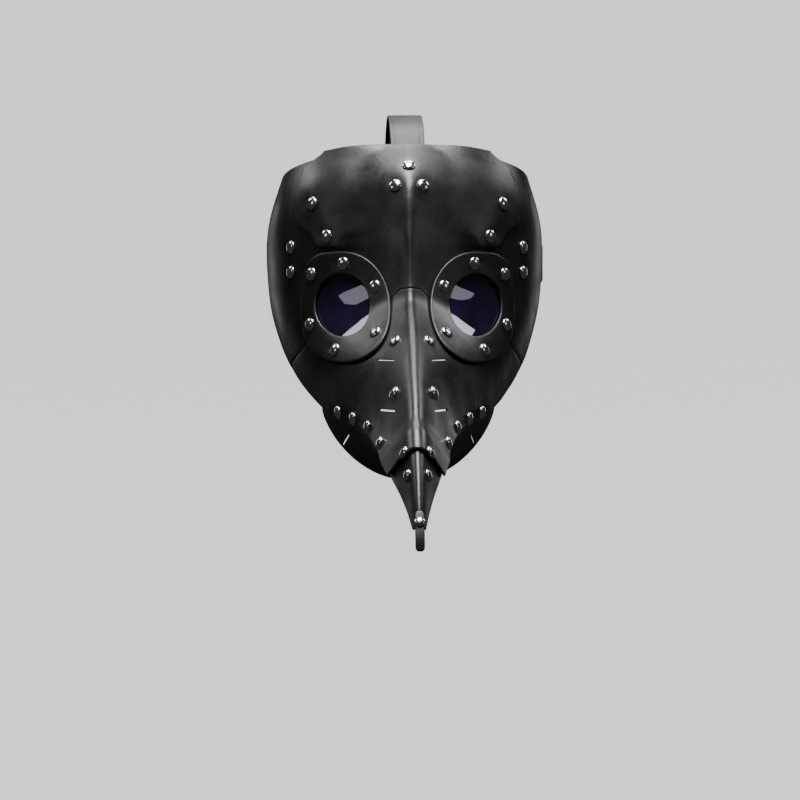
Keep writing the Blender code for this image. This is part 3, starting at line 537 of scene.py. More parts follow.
def cut(mesh, *tools):
    """The mesh with the tools cut out of it; what is cut takes the cut-edge colour, partly raw edge and
    partly painted highlight.
    """
    body = bpy.data.objects.new("cut_body", mesh)
    bpy.context.scene.collection.objects.link(body)
    for tool in tools:
        if not tool.data.materials:
            for made in mesh.materials:
                tool.data.materials.append(made)
            tool.data.polygons.foreach_set("material_index", [1] * len(tool.data.polygons))
        boolean = body.modifiers.new("cut", "BOOLEAN")
        boolean.operation = "DIFFERENCE"
        boolean.solver = "EXACT"
        boolean.object = tool
    bpy.context.view_layer.update()
    graph = bpy.context.evaluated_depsgraph_get()
    result = bpy.data.meshes.new_from_object(body.evaluated_get(graph))
    bpy.data.objects.remove(body)
    result.set_sharp_from_angle(angle=math.radians(50))
    return result


def frame_at(x, z, offset, top):
    """A matrix raised by offset, Z along the normal, where the surface at top shows at x, z."""
    u, v = locate(np.array(x), np.array(z), top)
    point, out = face(u, v), normal(u, v)
    if x == 0:
        point, out = point * [0, 1, 1], out * [0, 1, 1]
    out = Vector(out).normalized()
    rotation = out.to_track_quat("Z", "Y").to_matrix().to_4x4()
    return Matrix.Translation((Vector(point) + out * offset) * MM) @ rotation


# ---------------------------------------------------------------- the leather panels


def around_eye(angles, reach):
    x = EYE[0] + reach * np.cos(angles)
    z = EYE[1] + reach * np.sin(angles) * EYE_TALL
    return locate(x, z, RING_TOP)


def pocket_cutter():
    """A plug on each side that follows the face surface, for the pocket round the lens."""
    bm = bmesh.new()
    angles = np.linspace(0, 2 * math.pi, 72, endpoint=False)
    u, v = around_eye(angles, POCKET_R)
    for side in (1, -1):
        loops = []
        for offset in (-3.2, 3.2):
            points = on_face(u, v, np.full(u.shape, offset)) * [side, 1, 1] * MM
            ring = [bm.verts.new(p) for p in points]
            middle = bm.verts.new(points.mean(0))
            for k, vert in enumerate(ring):
                bm.faces.new((ring[k - 1], vert, middle))
            loops.append(ring)
        for k in range(len(angles)):
            bm.faces.new((loops[0][k - 1], loops[0][k], loops[1][k], loops[1][k - 1]))
    return cutter_object(bm)


def blade(bm, turn, length):
    """Adds a thin plate with round ends, lying along the matrix's X axis, thin along its Y."""
    thin = 0.6 * MM
    half = length / 2 * MM - thin
    outline = []
    for end in (1, -1):
        for step in range(7):
            a = math.pi * (step / 6 - 0.5) + (0 if end > 0 else math.pi)
            outline.append((end * half + thin * math.cos(a), thin * math.sin(a)))
    low = [bm.verts.new(turn @ Vector((a, b, -5 * MM))) for a, b in outline]
    high = [bm.verts.new(turn @ Vector((a, b, 5 * MM))) for a, b in outline]
    bm.faces.new(low[::-1])
    bm.faces.new(high)
    for k in range(len(low)):
        bm.faces.new((low[k - 1], low[k], high[k], high[k - 1]))


def slit_cutter():
    """Thin level blades for the breathing slits of the beak."""
    bm = bmesh.new()
    for (x, z), length in SLITS:
        for side in (1, -1):
            at = frame_at(side * x, z, 0, LEATHER)
            out = at.to_3x3() @ Vector((0, 0, 1))
            level = Vector((-out.y, out.x, 0)).normalized()
            turn = Matrix((level, out.cross(level), out)).transposed().to_4x4()
            turn.translation = at.translation
            blade(bm, turn, length / abs(level.x))
    return cutter_object(bm)


def lower_slit_cutter(half, normals):
    """A blade on each side for the slanted slit of the underside, placed on its half grid."""
    (x0, z0), (x1, z1) = LOWER_SLIT
    aim = np.array([(x0 + x1) / 2, (z0 + z1) / 2])
    away = ((half[..., [0, 2]] - aim) ** 2).sum(-1)
    away[:, :6] = 1e9
    i, k = np.unravel_index(away.argmin(), away.shape)
    out = Vector(normals[i, k]).normalized()
    along = Vector((x1 - x0, 0, z1 - z0))
    along.y = -along.dot(out) / out.y
    turn = Matrix((along.normalized(), out.cross(along).normalized(), out)).transposed().to_4x4()
    turn.translation = Vector(half[i, k]) * MM
    bm = bmesh.new()
    blade(bm, turn, along.length)
    blade(bm, Matrix.Diagonal((-1, 1, 1, 1)) @ turn, along.length)
    return cutter_object(bm)


def forehead_panel(pocket):
    columns, column_drop = spacing(62, 75.0, False)
    rows, row_drop = spacing(96, 130.0)
    share, level = np.meshgrid(columns**1.05, rows * BRIDGE_V)
    sag = (level / BRIDGE_V) ** 4
    u, v = settle(
        lambda u: level + sag * (bridge_seam(u) - BRIDGE_V - BRIDGE_GAP),
        lambda v: share * forehead_edge(v),
        share.shape,
    )
    u[:, 0] = 0
    u, v, drop = both_halves(u, v, row_drop, column_drop)
    points = face(u, v)
    inside = forehead_edge(v) - np.abs(points[..., 0])
    rise = 3.6 + 0.9 * np.maximum(inside - LAP, 0)
    lap = smooth((points[..., 2] - 33.0) / rise) * smooth((LAP + 30 - inside) / 28)
    lift = LAYER * lap + worn(points)
    mesh = slab(points, normal(u, v), lift, lift + LEATHER, drop)
    return keep("brow_leather", cut(mesh, pocket), ["forehead_panel"])


def both_halves(u, v, row_drop, column_drop):
    """The half grid, from the ridge outward, and its mirror image in one grid."""
    drop = np.maximum(row_drop[:, None], column_drop[None])
    u = np.concatenate([-u[:, :0:-1], u], 1)
    v = np.concatenate([v[:, :0:-1], v], 1)
    drop = np.concatenate([drop[:, :0:-1], drop], 1)
    return u, v, drop


def temple_panel(side, word, pocket):
    columns, column_drop = spacing(52, 70.0)
    rows, row_drop = spacing(96, 135.0)
    level = mix(TEMPLE_TOP_V, BRIDGE_V, rows)
    sag = rows**4
    near, _ = settle(
        lambda u: level + sag * (cheek_seam(u) - BRIDGE_V - SEAM_GAP), temple_front, rows.shape
    )
    u = near[:, None] + (1 - near[:, None]) * columns[None]
    v = level[:, None] + sag[:, None] * (cheek_seam(u) - BRIDGE_V - SEAM_GAP)
    points = face(u, v)
    lift = worn(points)
    mesh = slab(
        points * [side, 1, 1],
        normal(u, v) * [side, 1, 1],
        lift,
        lift + LEATHER,
        np.maximum(row_drop[:, None], column_drop[None]),
    )
    return keep("temple_leather_" + word, cut(mesh, pocket), ["temple_panel_" + word])


def beak_upper_panel(pocket):
    columns, column_drop = spacing(60, 60.0, False)
    rows, row_drop = spacing(120, 150.0)
    u = columns[None] ** 1.1 + 0 * rows[:, None]
    v = mix(cheek_seam(u) + SEAM_GAP, CHEVRON_V, rows[:, None])
    u, v, drop = both_halves(u, v, row_drop, column_drop)
    points = face(u, v)
    lift = LAYER * smooth((v - 6.42) / 0.3) + worn(points)
    mesh = slab(points, normal(u, v), lift, lift + LEATHER, drop)
    return keep("beak_leather", cut(mesh, pocket, slit_cutter()), ["beak_upper_panel"])


def beak_tip_panel():
    columns, column_drop = spacing(26, 14.0, False)
    rows, row_drop = spacing(60, 60.0)
    u = columns[None] ** 1.1 + 0 * rows[:, None]
    v = mix(CHEVRON_V - 0.22, TIP_V, rows[:, None]) + 0 * u
    u, v, drop = both_halves(u, v, row_drop, column_drop)
    points = face(u, v)
    lift = worn(points) * 0.7
    mesh = slab(points, normal(u, v), lift, lift + LEATHER, drop)
    return keep("tip_leather", mesh, ["beak_tip_panel"])


def grid_normals(points, closed=False):
    """Unit normals of a grid of points, from its own rows and columns."""
    across = np.gradient(points, axis=1)
    along = np.gradient(points, axis=0)
    if closed:
        along = (np.roll(points, -1, 0) - np.roll(points, 1, 0)) / 2
    out = np.cross(along, across)
    return out / np.maximum(np.linalg.norm(out, axis=-1, keepdims=True), 1e-9)


def belly(v):
    s = np.moveaxis(catmull(STATIONS, v), -1, 0)
    drop = read_curve([(4.8, 46.0), (5.4, 32.0), (6.0, 21.0), (7.0, 8.0), (9.0, 2.5)], v)
    forward = read_curve([(4.8, 8.0), (6.0, 4.0), (9.0, 0.0)], v)
    return np.stack([0 * v, s[3] - forward, s[4] - drop], -1)


def lower_beak_panel():
    rows, row_drop = spacing(100, 150.0)
    v = mix(LOWER_FROM_V, LOWER_TO_V, rows)
    flange = [on_face(flange_u(v, w), v, np.full(v.shape, -LAYER)) for w in (FLANGE, 8, 5.5, 3, 0.5)]
    wall = flange[4] - flange[2]
    wall /= np.linalg.norm(wall, axis=-1, keepdims=True)
    corner = flange[4] + wall * np.linalg.norm(flange[4] - flange[2], axis=-1, keepdims=True) * 0.25
    middle = belly(v)
    first = corner + wall * np.linalg.norm(corner - middle, axis=-1, keepdims=True) * 0.18
    second = middle + np.stack([corner[:, 0] * 0.7, 0 * v, 0 * v], -1)
    half = list(flange)
    for t in np.linspace(0, 1, 34):
        near = corner * (1 - t) ** 3 + first * 3 * t * (1 - t) ** 2
        half.append(near + second * 3 * t * t * (1 - t) + middle * t**3)
    half = np.stack(half, 1)
    points = np.concatenate([half, half[:, -2::-1] * [-1, 1, 1]], 1)
    out = grid_normals(points)
    if out[50, -20, 0] > 0:
        out = -out
    drop = np.broadcast_to(row_drop[:, None], points.shape[:2]).copy()
    drop[:, 0] = drop[:, -1] = 0.3
    # The underside takes the darker leather, whose dark colour is painted shade.
    mesh = slab(
        points, out, 0.15, LEATHER - 0.05, drop, materials=(PAINTED_SHADE_LOWER_LEATHER, CUT_EDGE_AND_PAINTED_HIGHLIGHT, FLESH_SIDE)
    )
    mesh = cut(mesh, lower_slit_cutter(half, out[:, : half.shape[1]]))
    return keep("lower_leather_piece", mesh, ["lower_beak_panel"])


# ---------------------------------------------------------------- the eyes


def ring_reach(angle):
    c, s = np.cos(angle), np.sin(angle)
    wide = np.where(c > 0, RING_TEMPLE, RING_NASAL)
    tall = np.where(s > 0, RING_UP, RING_DOWN) / EYE_TALL
    power = np.where(c < 0, 2.05, np.where(s > 0, 3.4, 2.7))
    return (np.abs(c / wide) ** power + np.abs(s / tall) ** power) ** (-1 / power)


def eyes():
    """Outer ring, backing ring and lens on each side, from grids that run round the eye."""
    angles = np.linspace(0, 2 * math.pi, 128, endpoint=False)[:, None]
    ring_shares, ring_drop = spacing(20, 15.0)
    reach = OPENING_R + (ring_reach(angles) - OPENING_R) * ring_shares
    ring = (*around_eye(angles, reach), ring_drop)
    back_shares, back_drop = spacing(12, 11.0)
    back_from = OPENING_R + 0.6
    back = (*around_eye(angles, back_from + (BACKING_R - back_from) * back_shares), back_drop)
    lens_drop = np.array([0, 0, 0, 0, 0, 0, 0, 0.05, 0.25])
    lens = (*around_eye(angles, np.array([1.2, 4, 7, 10, 13, 16, 18, 18.7, LENS_R])), lens_drop)
    lining = (FLESH_SIDE, CUT_EDGE_AND_PAINTED_HIGHLIGHT, FLESH_SIDE)
    for side, word in SIDES:
        flip = np.array([side, 1, 1])
        for piece, node, slot, (u, v, drop), base, thick, materials in (
            ("eye_ring_leather_", "eye_ring_", "leather", ring, LAYER, LEATHER, FACE_SHEET),
            ("lens_backing_leather_", "lens_backing_", "lining", back, -LAYER, LEATHER, lining),
            ("lens_glass_", "lens_", "lens", lens, 0.1, LENS_T, (LENS,)),
        ):
            points = face(u, v)
            low = base if slot == "lens" else base + worn(points)
            mesh = slab(points * flip, normal(u, v) * flip, low, low + thick, drop[None], True, materials)
            if slot == "lens":
                close_holes(mesh, len(angles))
            keep(piece + word, mesh, [node + word])


def close_holes(mesh, count):
    """Fills the small hole left in the middle of a round sheet, on both of its sides."""
    bm = bmesh.new()
    bm.from_mesh(mesh)
    bm.faces.ensure_lookup_table()
    bm.verts.ensure_lookup_table()
    columns = len(bm.verts) // 2 // count
    inner = {k * columns for k in range(2 * count)}
    walls = [f for f in bm.faces if all(v.index in inner for v in f.verts)]
    bmesh.ops.delete(bm, geom=walls, context="FACES_ONLY")
    open_edges = [e for e in bm.edges if len(e.link_faces) == 1]
    bmesh.ops.holes_fill(bm, edges=open_edges, sides=0)
    bmesh.ops.recalc_face_normals(bm, faces=bm.faces)
    for f in bm.faces:
        f.material_index = 0
        f.smooth = True
    bm.to_mesh(mesh)
    bm.free()
    mesh.set_sharp_from_angle(angle=math.radians(50))


# ---------------------------------------------------------------- turned metal


def turn(bm, profile, steps, unit):
    """Faces turned about Z from (radius, height) pairs, closed where the radius is 0."""
    rings = []
    for radius, height in profile:
        ring = []
        for k in range(steps if radius else 1):
            a = 2 * math.pi * k / steps
            point = (radius * math.cos(a) * unit, radius * math.sin(a) * unit, height * unit)
            ring.append(bm.verts.new(point))
        rings.append(ring)
    for one, two in zip(rings, rings[1:]):
        for k in range(steps):
            quad = [one[k % len(one)], one[(k + 1) % len(one)]]
            quad += [two[(k + 1) % len(two)], two[k % len(two)]]
            bm.faces.new(list(dict.fromkeys(quad)))


def lathe(profile):
    """A closed metal solid turned about Z, its profile on the axis at both ends."""
    bm = bmesh.new()
    turn(bm, profile, 40, MM)
    return mesh_of(bm, "lathe")


def dome_profile(scale, grip):
    """A domed rivet: the head's crown, its rolled rim, the shank, and the cap behind."""
    radius, height = RIVET_R * scale, RIVET_RISE * scale
    back, back_height = RIVET_BACK_R * scale, RIVET_BACK_RISE * scale
    crown = []
    for a in np.linspace(0, math.radians(74), 9):
        crown.append((radius * 0.97 * math.sin(a), height * (0.16 + 0.84 * math.cos(a))))
    rim = [(radius, height * 0.22), (radius, height * 0.06), (radius * 0.95, 0.0)]
    cap = [
        (SHANK_R, 0.0),
        (SHANK_R, -grip),
        (back * 0.96, -grip),
        (back, -grip - back_height * 0.4),
        (back * 0.75, -grip - back_height * 0.9),
        (0.0, -grip - back_height),
    ]
    return crown + rim + cap


def rivets(name, spots, low, high, scale=1.0):
    """A fine rivet at each spot, its head seated on the dimpled leather."""
    seat = RIVET_CLEAR - RIVET_SINK
    for side, word in SIDES:
        for number, (x, z) in enumerate(spots, 1):
            if not x and side < 0:
                continue
            node = f"{name}_{word}_{number}" if x else f"{name}_middle"
            mesh = lathe(dome_profile(scale, high - low + RIVET_CLEAR + seat))
            at = frame_at(side * x, z, high + seat, high)
            tilt = Matrix.Rotation(math.radians(2.5 * math.sin(7.3 * x + 3.1 * z + side)), 4, "X")
            mesh.transform(at @ tilt)
            keep("dome_" + node, mesh, [node])


def all_rivets():
    rivets("eye_rivet", EYE_RIVETS, -LAYER, RING_TOP)
    rivets("temple_rivet", TEMPLE_RIVETS, -STRAP_DEPTH, LEATHER)
    rivets("cheek_rivet", CHEEK_RIVETS, -LAYER, LEATHER)
    rivets("crown_rivet", CROWN_RIVETS, -STRAP_DEPTH - 0.7, LEATHER)
    rivets("forehead_rivet", FOREHEAD_RIVETS, 0, RING_TOP)
    rivets("bridge_rivet", BRIDGE_RIVETS, 0, LEATHER)
    rivets("nostril_rivet", NOSTRIL_RIVETS, 0, LEATHER)
    rivets("seam_upper_rivet", SEAM_UPPER_RIVETS, 0, RING_TOP, scale=0.9)
    rivets("seam_lower_rivet", SEAM_LOWER_RIVETS, 0, LEATHER, scale=0.9)


# ---------------------------------------------------------------- straps


def resample(points, count):
    """The points read at count even steps along a smooth curve through them."""
    points = np.asarray(points, float)
    fine = catmull(points.reshape(len(points), -1), np.linspace(0, len(points) - 1, 12 * len(points)))
    fine = fine.reshape(len(fine), *points.shape[1:])
    middle = fine if fine.ndim == 2 else fine[:, fine.shape[1] // 2]
    length = np.concatenate([[0], np.cumsum(np.linalg.norm(np.diff(middle, axis=0), axis=1))])
    wanted = np.linspace(0, length[-1], count)
    flat = fine.reshape(len(fine), -1)
    read = np.stack([np.interp(wanted, length, flat[:, k]) for k in range(flat.shape[1])], 1)
    return read.reshape(count, *points.shape[1:]), length[-1]


def strap_mesh(rows, outward, step=2.0):
    """A strap through rows of points across it: rounded, with a creased line along each side. Its
    smooth side looks outward at the middle of its length."""
    rows = np.asarray(rows, float)
    _, length = resample(rows, 10)
    path, _ = resample(rows, int(length / step) + 2)
    reach = np.array([0, 0.10, 0.25, 0.55, 1.6, 2.0, 2.4, 2.8, 3.6, 6.0, 8.5])
    shares = np.concatenate([reach / STRAP_W, [0.5], 1 - reach[::-1] / STRAP_W])
    drop = np.zeros(len(shares))
    drop[:4], drop[-4:] = round_drop(reach[:4]), round_drop(reach[:4])[::-1]
    line = np.array([0, 0, 0, 0, 0, 0.12, 0.22, 0.12])
    drop[:8] += line
    drop[-8:] += line[::-1]
    grid = catmull(np.moveaxis(path, 1, 0).reshape(path.shape[1], -1), shares * (path.shape[1] - 1))
    grid = np.moveaxis(grid.reshape(len(shares), len(path), 3), 0, 1)
    out = grid_normals(grid)
    if out[len(out) // 2, len(shares) // 2] @ np.array(outward, float) < 0:
        out = -out
    ends = np.zeros(len(path))
    ends[0] = ends[-1] = 0.35
    total = np.maximum(drop[None], ends[:, None])
    return slab(grid, out, -STRAP_T / 2, STRAP_T / 2, total, materials=STRAP_SHEET)


def head_line(y):
    share = max(1 - abs(y / HEAD_BACK) ** HEAD_POWER, 0.0)
    return HEAD_HALF_W * share ** (1 / HEAD_POWER)


def strap_z(y):
    return float(mix(STRAP_Z_FRONT, STRAP_Z_BACK, smooth((y + 20) / 110)))


def strap_row(x, y, half=STRAP_W / 2):
    return [np.array([x, y, strap_z(y) + lift]) for lift in (-half, 0, half)]


def strap_rows_in_mask(side):
    rows = []
    for u in (0.60, 0.68, 0.76, 0.84, 0.92, 1.0):
        row = []
        for lift in (-STRAP_W / 2, 0, STRAP_W / 2):
            v = at_height(u, STRAP_Z_FRONT + lift)
            row.append(on_face(u, v, -STRAP_DEPTH + STRAP_T / 2) * [side, 1, 1])
        rows.append(row)
    return rows


def head_angle_point(degrees):
    c, s = math.cos(math.radians(degrees)), math.sin(math.radians(degrees))
    reach = (abs(c / HEAD_HALF_W) ** HEAD_POWER + abs(s / HEAD_BACK) ** HEAD_POWER) ** (-1 / HEAD_POWER)
    return c * reach, s * reach


def heel_frame():
    tangent = Vector((head_line(HEEL_Y + 1) - head_line(HEEL_Y - 1), 2, 0)).normalized()
    outward = Vector((tangent.y, -tangent.x, 0))
    inner = Vector((head_line(HEEL_Y), HEEL_Y, strap_z(HEEL_Y)))
    return inner + outward * FOLD_R, tangent, outward


def box_cutter(centre, size, along):
    bm = bmesh.new()
    turn = Matrix.Rotation(math.atan2(along.y, along.x), 4, "Z")
    scale = Matrix.Diagonal((*(Vector(size) * MM), 1))
    bmesh.ops.create_cube(bm, size=1, matrix=Matrix.Translation(centre * MM) @ turn @ scale)
    return cutter_object(bm)


def side_strap_left():
    heel, along, out = heel_frame()
    rows = strap_rows_in_mask(1)
    rows += [strap_row(head_line(y), y) for y in (4, 14, 24, 34, 42, HEEL_Y - 2)]
    plan = []
    for degrees in (-90, -54, -18, 18, 54, 90):
        a = math.radians(degrees)
        plan.append(heel + along * FOLD_R * math.cos(a) + out * FOLD_R * math.sin(a))
    for back, gap in ((5, 4.6), (10, 2.8), (16, 2.7), (24, 2.7)):
        y = HEEL_Y - back
        plan.append(Vector((head_line(y), y, 0)) + out * gap)
    rows += [strap_row(p.x, p.y) for p in plan]
    mesh = strap_mesh(rows, (1, 0, 0), step=1.0)
    slot = box_cutter(heel - along * 3, (18, 16, 4.4), along)
    mesh = cut(mesh, slot)
    return keep("buckle_strap_leather", mesh, ["side_strap_left"])


def side_strap_right():
    rows = strap_rows_in_mask(-1)
    for degrees in np.linspace(176, 52, 27):
        rows.append(strap_row(*head_angle_point(degrees)))
    rows.append(strap_row(*head_angle_point(50), STRAP_W / 2 * 0.75))
    rows.append(strap_row(*head_angle_point(48.5), STRAP_W / 2 * 0.3))
    mesh = strap_mesh(rows, (-0.6, 0.8, 0))
    bm = bmesh.new()
    radius = PUNCH_R * MM
    for degrees in PUNCH_DEGREES:
        x, y = head_angle_point(degrees)
        ahead = Vector((*head_angle_point(degrees + 1), 0)) - Vector((*head_angle_point(degrees - 1), 0))
        out = Vector((ahead.y, -ahead.x, 0)).normalized()
        at = Matrix.Translation(Vector((x, y, strap_z(y))) * MM)
        at = at @ out.to_track_quat("Z", "Y").to_matrix().to_4x4()
        bmesh.ops.create_cone(
            bm, cap_ends=True, segments=28, radius1=radius, radius2=radius, depth=8 * MM, matrix=at
        )
    punches = cutter_object(bm)
    mesh = cut(mesh, punches)
    return keep("long_strap_leather", mesh, ["side_strap_right"])


def crown_strap():
    half = STRAP_W / 2
    across = (-half, -half / 2, 0, half / 2, half)
    rows = []
    for v in (1.14, 0.85, 0.56, 0.28, 0.02):
        row = []
        for x in across:
            u = float(at_width(abs(x), np.array(v))) if x else 0.0
            row.append(on_face(u, v, -STRAP_DEPTH + STRAP_T / 2) * [math.copysign(1, x), 1, 1])
        rows.append(row)
    back = HEAD_BACK
    over_head = [
        (-54, 112), (-34, 119), (-8, 123.5), (18, 122.5), (44, 115), (66, 101), (85, 80),
        (98, 58), (104, 46), (back + 4.4, 36), (back + 4.4, 20), (back + 4.4, 8), (back + 3, 5.2),
        (back, 4), (back - 3, 5.2), (back - 4.4, 8), (back - 4.4, 20), (back - 4.4, 34),
        (back - 3.3, 42), (95.3, 58), (91, 66),
    ]
    rows += [[np.array([x, y, z]) for x in across] for y, z in over_head]
    mesh = strap_mesh(rows, (0, 0.2, 1), step=1.5)
    return keep("crown_strap_leather", mesh, ["crown_strap"])


def tip_strip():
    path = [on_face(0.0, v, LAYER + 0.4 + LEATHER / 2) for v in (8.58, 8.72, 8.86, 9.0)]
    out_end = np.array([0, -0.96, 0.28]) * LEATHER / 2
    path += [np.array([0.0, -277.0, -134.5]) + out_end, np.array([0.0, -279.0, -141.5]) + out_end]
    rows = [[p + np.array([x, 0, 0]) for x in (-2.8, 0, 2.8)] for p in path]
    path, _ = resample(rows, 44)
    shares = np.array([0, 0.10, 0.25, 0.55, 1.4, 2.8, 4.2, 5.05, 5.35, 5.5, 5.6]) / 5.6
    near = np.array([0, 0.10, 0.25, 0.55])
    drop = np.zeros(len(shares))
    drop[:4], drop[-4:] = round_drop(near), round_drop(near)[::-1]
    grid = path[:, :1] + (path[:, -1:] - path[:, :1]) * shares[None, :, None]
    round_end = np.linspace(0, 1, len(path))
    near_end = np.maximum((round_end - 0.90) / 0.10, (0.12 - round_end) / 0.12)
    narrow = np.sqrt(1 - np.clip(near_end, 0, 1) ** 2 * 0.8)
    grid = path[:, 1:2] + (grid - path[:, 1:2]) * narrow[:, None, None]
    out = grid_normals(grid)
    if out[20, 5] @ np.array([0, -1, 0.3]) < 0:
        out = -out
    ends = np.zeros(len(path))
    ends[0] = ends[-1] = 0.3
    mesh = slab(grid, out, -LEATHER / 2, LEATHER / 2, np.maximum(drop[None], ends[:, None]))
    keep("tip_strip_leather", mesh, ["beak_tip_strip"])
    head = RIVET_R * 0.72
    crown = [(head * 0.97 * math.sin(a), 0.2 + 1.2 * math.cos(a)) for a in np.linspace(0, 1.3, 8)]
    stud = lathe(crown + [(head, 0.35), (head * 0.96, 0), (1.2, 0), (1.2, -5.2), (0, -5.2)])
    stud.transform(frame_at(0.0, TIP_RIVET[1], RING_TOP + 0.62, RING_TOP))
    keep("dome_tip_rivet", stud, ["tip_rivet"])


# ---------------------------------------------------------------- buckle and keeper


def tube_mesh(points, radii, closed=False):
    """A round wire through the points, with flat ends where it is open."""
    points, sides = np.asarray(points, float), 20
    if closed:
        tangents = np.roll(points, -1, 0) - np.roll(points, 1, 0)
    else:
        tangents = np.gradient(points, axis=0)
    tangents /= np.linalg.norm(tangents, axis=1, keepdims=True)
    radii = np.broadcast_to(radii, (len(points),))
    bm = bmesh.new()
    rings = []
    across = Vector((0, 0, 1)) if abs(tangents[0][2]) < 0.9 else Vector((1, 0, 0))
    for p, t, r in zip(points, tangents, radii):
        t = Vector(t)
        across = (across - t * across.dot(t)).normalized()
        other = t.cross(across)
        ring = []
        for k in range(sides):
            a = 2 * math.pi * k / sides
            point = Vector(p) + (across * math.cos(a) + other * math.sin(a)) * r
            ring.append(bm.verts.new(point * MM))
        rings.append(ring)
    join_rings(bm, rings, closed)
    if not closed:
        bm.faces.new(rings[0])
        bm.faces.new(rings[-1][::-1])
    return mesh_of(bm, "tube", sharp=50)


def join_rings(bm, rings, closed):
    pairs = list(zip(rings, rings[1:])) + ([(rings[-1], rings[0])] if closed else [])
    for one, two in pairs:
        for k in range(len(one)):
            bm.faces.new((one[k - 1], one[k], two[k], two[k - 1]))


def round_rectangle(low, high, half, bend, steps):
    """Points, at most 3 mm apart, round a rectangle with round corners: low to high, -half to half."""
    loop = []
    for a, b, start in (
        (high - bend, half - bend, 90),
        (high - bend, -half + bend, 0),
        (low + bend, -half + bend, -90),
        (low + bend, half - bend, -180),
    ):
        for step in range(steps + 1):
            t = math.radians(start - 90 * step / steps)
            loop.append((a + bend * math.cos(t), b + bend * math.sin(t)))
    dense = []
    for p, q in zip(loop, loop[1:] + loop[:1]):
        parts = max(int(math.dist(p, q) / 1.5), 1)
        dense += [(mix(p[0], q[0], s / parts), mix(p[1], q[1], s / parts)) for s in range(parts)]
    return dense


def buckle():
    heel, along, out = heel_frame()
    up = Vector((0, 0, 1))
    length, half = BUCKLE_LENGTH, BUCKLE_HALF_W
    wire = [heel + along * a + up * b for a, b in round_rectangle(0, length, half, 2.2, 8)]
    keep("buckle_frame_wire", tube_mesh(wire, BAR_R, closed=True), ["buckle_frame"], "buckle")
    eye = BAR_R + RUNNING_GAP + PRONG_R
    wire = []
    for degrees in np.linspace(-190, 90, 40):
        a = math.radians(degrees)
        wire.append(list(heel + along * eye * math.cos(a) + out * eye * math.sin(a)))
    over = ROLLER_R + PRONG_R + RUNNING_GAP
    tail = [
        heel + out * eye,
        heel + along * length * 0.5 + out * (over + 0.4),
        heel + along * (length - 1) + out * over,
        heel + along * (length + 4.5) + out * (over - 0.2),
    ]
    fine, _ = resample([list(p) for p in tail], 40)
    wire = np.array(wire + fine[1:].tolist())
    radii = np.full(len(wire), PRONG_R)
    radii[-6:] = PRONG_R * np.array([0.99, 0.96, 0.9, 0.8, 0.62, 0.30])
    radii[:3] = PRONG_R * np.array([0.45, 0.8, 0.95])
    keep("buckle_prong_wire", tube_mesh(wire, radii), ["buckle_prong"], "prong")
    reach, bore, top = ROLLER_R, BAR_R + RUNNING_GAP, half - 2.4
    profile = [(bore, top), (bore + 0.3, top), (reach - 0.2, top), (reach, top - 0.2)]
    profile += [(reach, top - 1.6), (reach - 0.12, top - 1.9), (reach, top - 2.2)]
    profile += [(r, -z) for r, z in profile[::-1]]
    roller = ring_lathe(profile, heel + along * length)
    keep("buckle_roller_tube", roller, ["buckle_roller"], "roller")


def ring_lathe(profile, centre):
    """A metal tube turned about a vertical axis: the profile is closed by its bore."""
    bm = bmesh.new()
    rings = []
    for radius, height in profile:
        ring = []
        for k in range(40):
            a = 2 * math.pi * k / 40
            point = Vector((radius * math.cos(a), radius * math.sin(a), height)) + centre
            ring.append(bm.verts.new(point * MM))
        rings.append(ring)
    join_rings(bm, rings, closed=True)
    return mesh_of(bm, "ring")


def keeper():
    """A leather loop bent to a rounded rectangle round the short strap."""
    x, y, z = head_line(KEEPER_Y), KEEPER_Y - KEEPER_W / 2, strap_z(KEEPER_Y)
    inner, outer = -STRAP_T / 2 - KEEPER_GAP, STRAP_T / 2 + STRAP_T + 1.6
    loop = round_rectangle(inner, outer, STRAP_W / 2 + KEEPER_GAP, 1.1, 5)
    shares, drop = spacing(9, KEEPER_W)
    grid = np.array([[(x + a, y + KEEPER_W * s, z + c) for s in shares] for a, c in loop])
    out = grid_normals(grid, closed=True)
    if (grid[0, 0] - grid.mean((0, 1))) @ out[0, 0] < 0:
        out = -out
    mesh = slab(grid, out, 0.0, LEATHER, drop[None], True, STRAP_SHEET)
    keep("keeper_leather", mesh, ["strap_keeper"], "keeper")


# ---------------------------------------------------------------- stage, light and camera


def stage():
    """A pale sweep: a flat floor that rises into a round wall on every side. It stays out of the
    mask's reflections, as a dark room would."""
    profile = [(0.0, 0.0), (1.2, 0.0), (2.4, 0.0)]
    profile += [(2.4 + 1.4 * math.sin(a), 1.4 * (1 - math.cos(a))) for a in np.linspace(0.1, 1.57, 14)]
    profile += [(3.8, 2.4), (3.8, 3.6)]
    bm = bmesh.new()
    turn(bm, profile, 72, 1.0)
    mesh = bpy.data.meshes.new("sweep")
    bm.to_mesh(mesh)
    bm.free()
    mesh.shade_smooth()
    floor = bpy.data.objects.new("sweep", mesh)
    bpy.context.scene.collection.objects.link(floor)
    floor.location = (0, -0.08, cad_low.z - 0.9)
    made, shader = new_material("pale_sweep", (0.80, 0.80, 0.80), 0.9, specular=0.1)
    shader.inputs["Emission Color"].default_value = (1, 1, 1, 1)
    shader.inputs["Emission Strength"].default_value = 1.05
    mesh.materials.append(made)
    floor.visible_glossy = floor.visible_diffuse = floor.visible_transmission = False


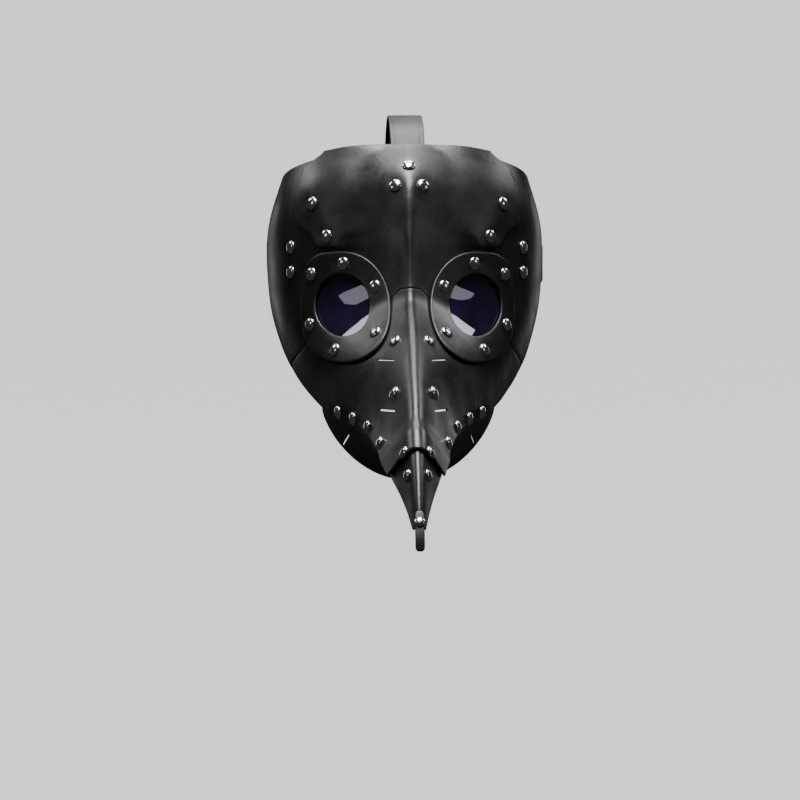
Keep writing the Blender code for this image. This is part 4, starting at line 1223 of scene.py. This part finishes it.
def light(name, azimuth, elevation, distance, size, power):
    """A soft box aimed at the mask; azimuth from the front towards the wearer's left, in degrees."""
    data = bpy.data.lights.new(name, "AREA")
    data.shape = "RECTANGLE"
    data.size, data.size_y = size
    data.energy = power
    obj = bpy.data.objects.new(name, data)
    bpy.context.scene.collection.objects.link(obj)
    turn, rise = math.radians(azimuth), math.radians(elevation)
    level = math.cos(rise)
    away = Vector((math.sin(turn) * level, -math.cos(turn) * level, math.sin(rise)))
    obj.location = Vector((0, -0.12, -0.01)) + away * distance
    obj.rotation_euler = away.to_track_quat("Z", "Y").to_euler()
    obj.visible_camera = False


def lights():
    """Overhead for the ridge, behind each side for lenses, rings and flanks, dim for the brow."""
    light("overhead", 0, 78, 1.3, (0.60, 0.85), 46)
    for side, word in SIDES:
        light("lens_" + word, side * 116, 38, 1.5, (0.46, 0.46), 4.2)
        light("flank_" + word, side * 149, 3, 1.6, (0.22, 0.45), 0.45)
        light("brow_" + word, side * 66, 22, 1.6, (0.35, 0.40), 0.9)
    light("front", -8, 48, 1.9, (0.35, 0.25), 1.2)
    light("rear", 180, 58, 2.0, (1.2, 0.8), 26)
    world = bpy.data.worlds.new("studio")
    bpy.context.scene.world = world
    world.use_nodes = True
    inputs = world.node_tree.nodes["Background"].inputs
    inputs["Color"].default_value = (1, 1, 1, 1)
    inputs["Strength"].default_value = 0.035


def camera():
    """In front of the eyes and level with them, turned two degrees to the side."""
    distance, half_view = 2.0, 0.252
    data = bpy.data.cameras.new("camera")
    data.sensor_width = 36
    data.lens = data.sensor_width / 2 / (half_view / distance)
    obj = bpy.data.objects.new("camera", data)
    bpy.context.scene.collection.objects.link(obj)
    eyes_at = Vector((0, -0.096, 0))
    azimuth = math.radians(-2)
    back = Vector((math.sin(azimuth), -math.cos(azimuth), 0))
    right = Vector((math.cos(azimuth), math.sin(azimuth), 0))
    obj.location = eyes_at + back * distance
    target = eyes_at - right * 0.0057 - Vector((0, 0, 0.0599))
    obj.rotation_euler = (target - obj.location).to_track_quat("-Z", "Y").to_euler()
    bpy.context.scene.camera = obj


# ---------------------------------------------------------------- the whole mask

camera()
stage()
lights()
pockets = pocket_cutter()
forehead_panel(pockets)
temple_panel(1, "left", pockets)
temple_panel(-1, "right", pockets)
beak_upper_panel(pockets)
beak_tip_panel()
lower_beak_panel()
eyes()
all_rivets()
tip_strip()
side_strap_left()
side_strap_right()
crown_strap()
buckle()
keeper()
for leftover in [o for o in bpy.data.objects if o.name.startswith("cutter")]:
    bpy.data.objects.remove(leftover)
